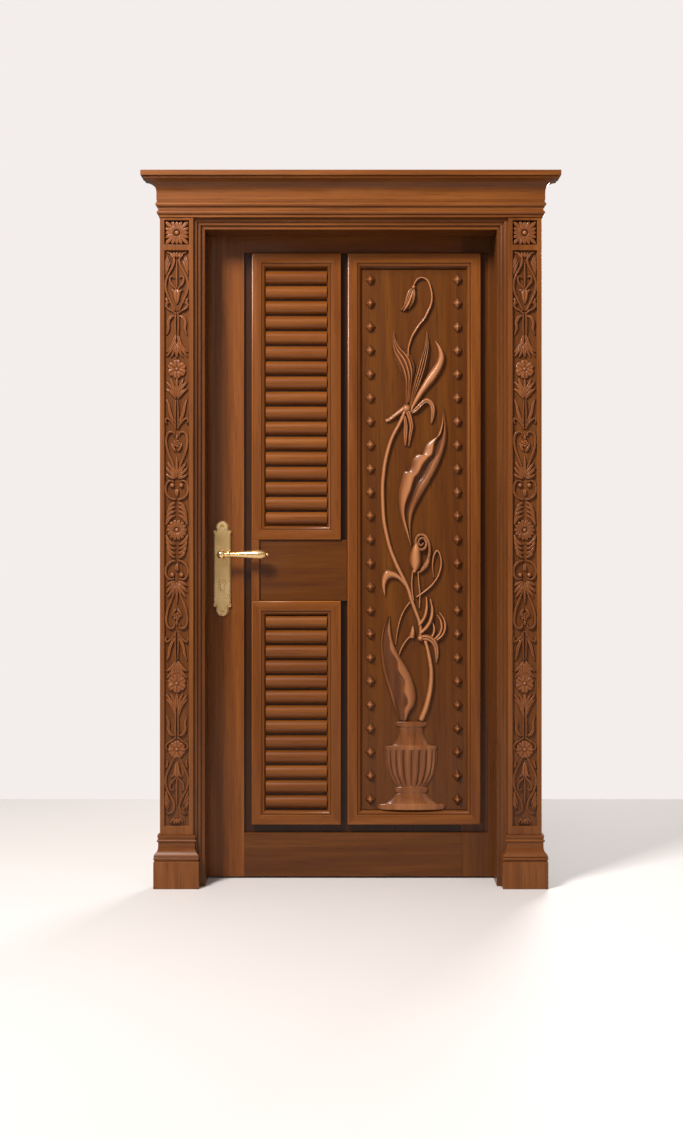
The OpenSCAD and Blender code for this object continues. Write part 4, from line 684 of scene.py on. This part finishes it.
def buildStuds():
    bm, crest = carvingMesh()
    inset, pitch, rise = studs["inset"], studs["pitch"], studs["rise"]
    groundRise = groundHigh.z - groundLow.z
    count = int((groundRise - 2 * inset) / pitch) + 1
    first = groundLow.z + (groundRise - (count - 1) * pitch) / 2
    stud = bmesh.ops.create_cone(bm, cap_ends=True, segments=4, radius1=0.5, radius2=0.5 * studs["tip"],
                                 depth=1.0)["verts"]
    bmesh.ops.translate(bm, verts=stud, vec=(0, 0, 0.5))
    bmesh.ops.scale(bm, verts=stud, vec=(studs["width"], studs["height"], rise))
    raised = [e for e in bm.edges if max(v.co.z for v in e.verts) > rise / 2]
    bmesh.ops.bevel(bm, geom=raised, offset=studs["rounding"], affect="EDGES", segments=2, profile=0.5,
                    material=-1)
    # painted shade at each stud's foot, rising to a painted highlight at its tip
    for vert in bm.verts:
        vert[crest] = studs["footShade"] + (1 - studs["footShade"]) * vert.co.z / rise
    pattern = list(bm.verts) + list(bm.edges) + list(bm.faces)
    columns = groundLow.x + inset, groundHigh.x - inset
    places = [(x, first + i * pitch) for x in columns for i in range(count)]
    for i, (x, z) in enumerate(reversed(places), 1):  # copies of one stud, which itself takes the last place
        each = pattern if i == len(places) else bmesh.ops.duplicate(bm, geom=pattern)["geom"]
        bmesh.ops.transform(bm, verts=vertsOf(each), matrix=standUp((x, groundLow.y, z)))
    bmesh.ops.recalc_face_normals(bm, faces=bm.faces)
    wood = lacqueredWood("studWood", "carved", "Z", 8.1, crest=True, gloss=studs["gloss"])
    newPiece("diamondStuds", bm, "leaf", ["diamond_studs"], [wood], studs["sharp"])
    return len(places)


print("studs set:", buildStuds())

# pilaster strip: half of each motif, in millimetres across from the middle and up from the daisy
strips = {
    "rise": 0.0095, "fuller": 1.3, "daisyUp": 0.938, "lift": 0.0002, "gloss": 0.34,
    "daisy": {"petals": 14, "inner": 7, "outer": 34, "width": 14, "hub": 8.5},
    "cuts": {  # shares of the width and of the rise along a stroke, its rows and columns, and its rounded end
        "scroll": ((0.75, 1.0, 0.9, 0.6), (0.8, 1.0, 1.0, 0.75), 30, 8, 0.04),
        "leaf": ((0.4, 1.0, 0.85, 0.25), (0.6, 1.0, 0.95, 0.5), 18, 10, 0.08),
        "bud": ((0.3, 1.0, 0.8, 0.15), (0.6, 1.0, 1.0, 0.5), 16, 10, 0.1),
    },
    "near": [
        ("leaf", [(34, 14), (29, 30), (17, 42), (3, 47)], 10),
        ("leaf", [(33, 30), (27, 47), (16, 57), (3, 61)], 10),
        ("leaf", [(31, 47), (25, 63), (14, 72), (3, 75)], 10),
        ("leaf", [(28, 64), (21, 77), (12, 85), (3, 89)], 9),
        ("scroll", [(2, 97), (18, 101), (32, 114), (36, 134), (30, 152), (18, 158), (8, 152)], 7),
        ("ball", [(14.5, 143)], 10.5), ("leaf", [(2, 166), (14, 168), (25, 172), (35, 181)], 10),
        ("leaf", [(2, 169), (13, 178), (24, 188), (35, 202)], 11),
        ("leaf", [(2, 174), (10, 188), (20, 202), (30, 218)], 10),
        ("scroll", [(2, 176), (14, 214), (28, 250), (34, 284), (30, 306), (18, 314), (8, 308), (9, 298)], 7),
        ("leaf", [(2, 250), (8, 258), (13, 268), (16, 280)], 8),
        ("scroll", [(2, 322), (10, 338), (22, 352), (33, 356), (36, 346), (30, 340)], 6),
        ("leaf", [(3, 340), (14, 356), (22, 378), (26, 400), (34, 420)], 10),
        ("scroll", [(4, 330), (5, 360), (4, 390), (3, 418)], 5),
        ("leaf", [(2, 418), (12, 434), (22, 444), (36, 452)], 11),
        ("leaf", [(2, 424), (10, 444), (20, 460), (34, 474)], 11),
        ("leaf", [(1, 430), (7, 450), (14, 468), (22, 486)], 10),
    ],
    "nearMiddle": [
        ("bud", [(0, 132), (0, 124), (0, 116), (0, 106)], 13),
        ("bud", [(0, 164), (0, 186), (0, 214), (0, 240)], 9), ("flower", [(0, 276)], 5, 13),
        ("bud", [(0, 306), (0, 298), (0, 292), (0, 286)], 8),
        ("bud", [(0, 422), (0, 444), (0, 466), (0, 488)], 10),
    ],
    "spray": [
        ("leaf", [(3, 628), (8, 604), (18, 584), (36, 566)], 11),
        ("leaf", [(3, 612), (9, 590), (20, 572), (34, 552)], 11),
        ("leaf", [(2, 600), (6, 580), (12, 564), (20, 550)], 9),
        ("leaf", [(4, 684), (18, 681), (27, 664), (26, 642), (34, 620)], 10),
        ("scroll", [(4, 620), (5, 646), (5, 670), (3, 696)], 6),
        ("scroll", [(3, 690), (14, 700), (26, 706), (35, 716), (31, 729), (22, 723)], 6),
    ],
    "sprayMiddle": [("bud", [(0, 598), (0, 582), (0, 566), (0, 548)], 14)],
    "lyre": [
        ("scroll",
         [(4, 697), (16, 722), (32, 758), (36, 786), (28, 814), (13, 842), (8, 862), (15, 880), (34, 888)], 7),
        ("scroll", [(2, 768), (10, 778), (20, 790), (22, 805), (14, 811), (9, 803)], 6),
        ("leaf", [(2, 752), (8, 760), (14, 766), (20, 768)], 8),
        ("leaf", [(36, 812), (32, 828), (26, 844), (20, 862)], 8),
        ("leaf", [(37, 826), (34, 842), (29, 856), (23, 872)], 8),
        ("leaf", [(37, 842), (35, 854), (32, 864), (28, 876)], 7),
        ("leaf", [(36, 742), (32, 734), (30, 724), (31, 712)], 7),
    ],
    "lyreMiddle": [
        ("bud", [(0, 772), (0, 756), (0, 740), (0, 720)], 22),
        ("scroll", [(0, 772), (0, 800), (0, 830), (0, 858)], 5),
    ],
    "shell": [
        ("leaf", [(2, 872), (6, 876), (9, 882), (10, 889)], 7),
        ("leaf", [(5, 870), (12, 872), (17, 878), (20, 888)], 7),
    ],
    "shellMiddle": [("bud", [(0, 868), (0, 876), (0, 883), (0, 890)], 8)],
    "upper": {"spray": 0, "lyre": 0, "shell": 0, "flowers": [(514, 6, 8, 31)]},
    "lower": {"spray": -28, "lyre": 20, "shell": 52, "flowers": [(490, 6, 8, 31), (701, 7, 8, 29)]},
}


def drawMotif(bm, crest, motif, rise, shift, side, up):
    kind, points, width = motif[:3]
    path = [(x * side, (y + shift) * up) for x, y in points]
    if kind in strips["cuts"]:
        widths, rises, steps, across, cap = strips["cuts"][kind]
        width *= strips["fuller"]
        carveStroke(bm, crest, path, [width * w for w in widths], [rise * r for r in rises],
                    creasedSection, steps, across, cap)
    elif kind == "ball":
        carveDome(bm, crest, path[0], width * 0.85, rise)
    elif kind == "flower":
        carvePetals(bm, crest, path[0], width, 2, motif[3], motif[3] * 0.95, rise * 0.85)
        carveDome(bm, crest, path[0], motif[3] * 0.3, rise)


def buildStrip(name, pilaster, replaced, shift):
    bm, crest = carvingMesh()
    rise, daisy = strips["rise"], strips["daisy"]
    for up, half in ((1, strips["upper"]), (-1, strips["lower"])):
        for group in ("near", "spray", "lyre", "shell"):
            moved = half.get(group, 0)
            for motif in strips[group]:
                for side in (1, -1):
                    drawMotif(bm, crest, motif, rise, moved, side, up)
            for motif in strips[group + "Middle"]:
                drawMotif(bm, crest, motif, rise, moved, 1, up)
        for v, count, inner, outer in half["flowers"]:
            place = (0, v * up)
            carvePetals(bm, crest, place, count, inner * 0.5, outer, outer * 0.98, rise * 0.9, math.pi / 2)
            carveDome(bm, crest, place, inner, rise)
    carvePetals(bm, crest, (0, 0), daisy["petals"], daisy["inner"], daisy["outer"], daisy["width"],
                rise * 0.95)
    carveDome(bm, crest, (0, 0), daisy["hub"], rise * 0.85)
    closeBacks(bm)
    low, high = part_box(replaced)
    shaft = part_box(pilaster)
    middle = ((shaft[0].x + shaft[1].x) / 2, high.y + strips["lift"], low.z + strips["daisyUp"])
    bmesh.ops.transform(bm, verts=bm.verts, matrix=standUp(middle, millimetre, millimetre))
    wood = lacqueredWood(name + "Wood", "strip", "Z", shift, crest=True, gloss=strips["gloss"])
    newPiece(name, bm, "frame", [replaced], [wood])


buildStrip("leftStrip", "left_pilaster", "left_scrollwork", 5.2)
buildStrip("rightStrip", "right_pilaster", "right_scrollwork", 6.6)
print("pilaster strips carved")

# corner rosettes: a sunburst whose petals run out to the edges of a square
rosette = {
    "petals": 16, "inner": 0.0098, "hub": 0.0090, "hubRise": 1.15, "rise": 0.0085, "plate": 0.0025,
    "plateShade": 0.1, "margin": 0.97, "width": 0.0125, "sink": 0.0003, "gloss": 0.34,
    "rings": [(1.0, 0.0, 1.0), (0.62, 0.5, 1.12)],  # reach, turn in petals, lift
}


def buildRosette(name, replaced, shift):
    bm, crest = carvingMesh()
    low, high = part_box(replaced)
    half = (high.x - low.x) / 2
    rise, count, inner = rosette["rise"], rosette["petals"], rosette["inner"]
    for share, turn, lift in rosette["rings"]:
        for k in range(count):
            angle = 2 * math.pi * (k + turn) / count
            ray = Vector((math.cos(angle), math.sin(angle)))
            reach = share * half * rosette["margin"] / max(abs(ray.x), abs(ray.y))
            path = [ray * (inner + (reach - inner) * d) for d in (0, 0.35, 0.7, 1)]
            width = rosette["width"] * share * (1 + 0.25 * (reach / (share * half) - 1))
            carveStroke(bm, crest, path, [width * 0.35, width * 0.8, width, width * 0.2],
                        [rise * 0.75 * lift, rise * 0.8 * lift, rise * 0.7 * lift, rise * 0.3],
                        creasedSection, 14, 8, 0.08)
    carveDome(bm, crest, (0, 0), rosette["hub"], rise * rosette["hubRise"], 24)
    closeBacks(bm)
    bmesh.ops.translate(bm, verts=bm.verts, vec=(0, 0, rosette["plate"] - rosette["sink"]))
    plate = bmesh.ops.create_cube(bm, size=1.0)["verts"]
    bmesh.ops.translate(bm, verts=plate, vec=(0, 0, 0.5))
    bmesh.ops.scale(bm, verts=plate, vec=(2 * half, high.z - low.z, rosette["plate"]))
    for vert in plate:
        vert[crest] = rosette["plateShade"]
    bmesh.ops.recalc_face_normals(bm, faces=bm.faces)
    tallest = max(vert.co.z for vert in bm.verts)
    bmesh.ops.scale(bm, verts=bm.verts, vec=(1, 1, (high.y - low.y) / tallest))
    middle = ((low.x + high.x) / 2, high.y, (low.z + high.z) / 2)
    bmesh.ops.transform(bm, verts=bm.verts, matrix=standUp(middle))
    wood = lacqueredWood(name + "Wood", "strip", "Z", shift, crest=True, gloss=rosette["gloss"])
    newPiece(name, bm, "frame", [replaced], [wood])


buildRosette("leftRosette", "left_rosette", 9.4)
buildRosette("rightRosette", "right_rosette", 10.9)
print("rosettes carved")


# trim of the handle plates, in millimetres from the middle of the plate
trim = {
    "rim": [(26, -114), (26, -60), (26, 0), (26, 60), (26, 114)],
    "arch": {"middle": 135.3, "radius": 18.6, "from": -28, "to": 208, "points": 13},
    "curl": [(27.4, 112), (28.6, 119), (25.4, 124.6), (19.6, 124.2), (17.4, 119.6), (19.8, 115.8),
             (23.6, 116.6), (24, 120), (21.8, 121)],
    "palm": 133.3,
    "palmLeaves": [(0, 13.5, 5.0), (24, 12.5, 4.2), (-24, 12.5, 4.2), (48, 10.5, 3.6), (-48, 10.5, 3.6)],
    "key": {"middle": -46.0, "head": 10.6, "lobe": 7.0, "drop": 19.5},
    "rimWidth": [3.2, 3.2], "curlWidths": [1.4, 2.6, 2.2, 1.6], "keyWidth": [2.4, 2.4],
    "rimRise": [3.4, 3.4], "curlRise": [1.5, 1.5], "leafRise": [1.3, 1.3], "rimFloor": 4.2, "field": 7.0,
    "sink": 0.0002, "pale": (0.72, 0.47, 0.20), "deep": (0.52, 0.31, 0.11), "roughness": 0.26,
}


def trimPlate(bm, crest):
    arch, key = trim["arch"], trim["key"]
    radius, archMiddle = arch["radius"], arch["middle"]
    rimWidth, rimRise, curlRise = trim["rimWidth"], trim["rimRise"], trim["curlRise"]
    lifted = []
    for up in (1, -1):
        step = (arch["to"] - arch["from"]) / (arch["points"] - 1)
        turns = [math.radians(arch["from"] + step * i) for i in range(arch["points"])]
        path = [(radius * math.cos(a), up * (archMiddle + radius * math.sin(a))) for a in turns]
        carveStroke(bm, crest, path, rimWidth, rimRise, roundSection, 48)
        for side in (1, -1):
            curl = [(x * side, y * up) for x, y in trim["curl"]]
            lifted += carveStroke(bm, crest, curl, trim["curlWidths"], curlRise, roundSection, 40)
        for lean, reach, width in trim["palmLeaves"]:
            x, y = math.sin(math.radians(lean)), math.cos(math.radians(lean))
            path = [(x * d, up * (trim["palm"] + y * d)) for d in (2, reach * 0.4, reach * 0.75, reach)]
            widths = [width * 0.4, width, width * 0.8, width * 0.2]
            lifted += carveStroke(bm, crest, path, widths, trim["leafRise"], creasedSection, 14)
    head, lobe, middle, foot = key["head"], key["lobe"], key["middle"], key["middle"] - key["drop"]
    neck = (math.pi - math.asin(lobe / head)) / 7
    keyhole = [(head * math.sin(i * neck), middle + head * math.cos(i * neck)) for i in range(8)]
    keyhole += [(lobe, middle - key["drop"] * 0.8)]
    keyhole += [(lobe * math.cos(i * math.pi / 8), foot - lobe * math.sin(i * math.pi / 8)) for i in range(5)]
    for side in (1, -1):
        rim = [(x * side, y) for x, y in trim["rim"]]
        carveStroke(bm, crest, rim, rimWidth, rimRise, roundSection, 16, cap=0.02)
        edge = [(x * side, y) for x, y in keyhole]
        lifted += carveStroke(bm, crest, edge, trim["keyWidth"], curlRise, roundSection, 60, cap=0.01)
    bmesh.ops.translate(bm, verts=lifted, vec=(0, 0, trim["field"] - trim["rimFloor"]))


def buildPlateTrim():
    bm, crest = carvingMesh()
    trimPlate(bm, crest)
    closeBacks(bm)
    low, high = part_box("outside_plate")
    x, z, sunk = (low.x + high.x) / 2, (low.z + high.z) / 2, millimetre * trim["rimFloor"] - trim["sink"]
    bmesh.ops.scale(bm, verts=bm.verts, vec=(millimetre, millimetre, millimetre))
    outside = list(bm.verts)
    inside = vertsOf(bmesh.ops.duplicate(bm, geom=outside + list(bm.edges) + list(bm.faces))["geom"])
    bmesh.ops.transform(bm, verts=outside, matrix=standUp((x, high.y - sunk, z)))
    turned = Matrix.Translation((x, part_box("inside_plate")[0].y + sunk, z)) @ Matrix.Rotation(math.pi, 4, "Z")
    bmesh.ops.transform(bm, verts=inside, matrix=turned @ standUp((0.0, 0.0, 0.0)))
    bmesh.ops.recalc_face_normals(bm, faces=bm.faces)
    trimBrass = polishedMetal("trimBrass", trim["pale"], trim["deep"], trim["roughness"])
    newPiece("plateTrim", bm, "leaf", [], [trimBrass])


buildPlateTrim()
print("plates trimmed")


# stage: floor, light and camera
stage = {
    "floorColour": (0.60, 0.565, 0.55), "floorHalf": (9.0, 5.5), "floorMiddle": -3.9, "floorRoughness": 0.6,
    "sky": (0.90, 0.85, 0.84), "skyLight": (1.0, 0.97, 0.95), "skyStrength": 0.16, "sensor": 36.0,
    "distance": 5.0, "eyeHeight": 1.128, "leafFace": 0.106,
    "imageWidth": 683.0, "imageHeight": 1138.0, "metresPerPixel": 0.00328, "axisX": 350.8, "axisY": 534.3,
}


def buildStage():
    bm = bmesh.new()
    sheet = bmesh.ops.create_grid(bm, x_segments=1, y_segments=1, size=1.0)["verts"]
    bmesh.ops.scale(bm, verts=sheet, vec=(*stage["floorHalf"], 1.0))
    bmesh.ops.translate(bm, verts=sheet, vec=(0.0, stage["floorMiddle"], 0.0))
    mesh = bpy.data.meshes.new("floor")
    bm.to_mesh(mesh)
    bm.free()
    floor = bpy.data.objects.new("floor", mesh)
    bpy.context.scene.collection.objects.link(floor)
    material, tree, shader = newMaterial("paleFloor")
    place = addNode(tree, "ShaderNodeTexCoord").outputs["Object"]
    cloud = noise(tree, place, 1.5, 3.0)
    pale = stage["floorColour"]
    shaded = rampBetween(tree, cloud, [(0.3, tuple(c * 0.98 for c in pale)), (0.7, pale)])
    feed(tree, shader, Base_Color=shaded, Roughness=stage["floorRoughness"])
    setMaterial(floor, material)

    world = bpy.data.worlds.new("studio")
    bpy.context.scene.world = world
    world.use_nodes = True
    tree = world.node_tree
    tree.nodes.clear()
    seen = addNode(tree, "ShaderNodeBackground", Strength=1.0, Color=(*stage["sky"], 1.0))
    light = addNode(tree, "ShaderNodeBackground", Strength=stage["skyStrength"],
                    Color=(*stage["skyLight"], 1.0))
    path = addNode(tree, "ShaderNodeLightPath")
    mix = addNode(tree, "ShaderNodeMixShader", Fac=path.outputs["Is Camera Ray"])
    plug(tree, light.outputs["Background"], mix.inputs[1])
    plug(tree, seen.outputs["Background"], mix.inputs[2])
    addNode(tree, "ShaderNodeOutputWorld", Surface=mix.outputs["Shader"])


def addLamp(name, spot, aim, size, power, colour):
    lamp = bpy.data.lights.new(name, "AREA")
    lamp.shape = "RECTANGLE"
    lamp.size, lamp.size_y = size
    lamp.energy = power
    lamp.color = colour
    holder = bpy.data.objects.new(name, lamp)
    bpy.context.scene.collection.objects.link(holder)
    holder.location = spot
    holder.visible_camera = False
    holder.rotation_mode = "QUATERNION"
    holder.rotation_quaternion = (Vector(aim) - Vector(spot)).to_track_quat("-Z", "Y")


buildStage()
lamps = {  # place, aim, size, power and colour
    "windowLamp": ((-1.9, -2.6, 4.2), (0.1, 0.0, 1.1), (1.0, 1.2), 360, (1.0, 0.97, 0.94)),
    "fillLamp": ((3.2, -4.0, 1.8), (0.0, 0.0, 1.0), (2.5, 2.5), 26, (1.0, 0.94, 0.88)),
    "rearLamp": ((1.6, 4.2, 3.4), (0.0, 0.15, 1.0), (1.6, 1.6), 170, (1.0, 0.97, 0.94)),
    "glossLamp": ((-0.72, -4.95, 1.95), (-0.72, 0.0, 1.95), (0.6, 2.4), 6, (1.0, 0.98, 0.96)),
    "ceilingLamp": ((0.0, 0.0, 5.4), (0.0, 0.0, 0.0), (10.0, 10.0), 190, (1.0, 0.98, 0.96)),
}
for name, setting in lamps.items():
    addLamp(name, *setting)

camera = bpy.data.cameras.new("photoView")
cameraHolder = bpy.data.objects.new("photoView", camera)
bpy.context.scene.collection.objects.link(cameraHolder)
cameraHolder.location = (0.0, stage["leafFace"] - stage["distance"], stage["eyeHeight"])
cameraHolder.rotation_euler = (math.radians(90), 0.0, 0.0)
camera.sensor_width = stage["sensor"]
camera.lens = stage["sensor"] * stage["distance"] / (stage["imageHeight"] * stage["metresPerPixel"])
camera.shift_x = (stage["imageWidth"] / 2 - stage["axisX"]) / stage["imageHeight"]
camera.shift_y = (stage["axisY"] - stage["imageHeight"] / 2) / stage["imageHeight"]
bpy.context.scene.camera = cameraHolder
bpy.context.scene.view_settings.view_transform = "Standard"
print("stage, lamps and camera set")
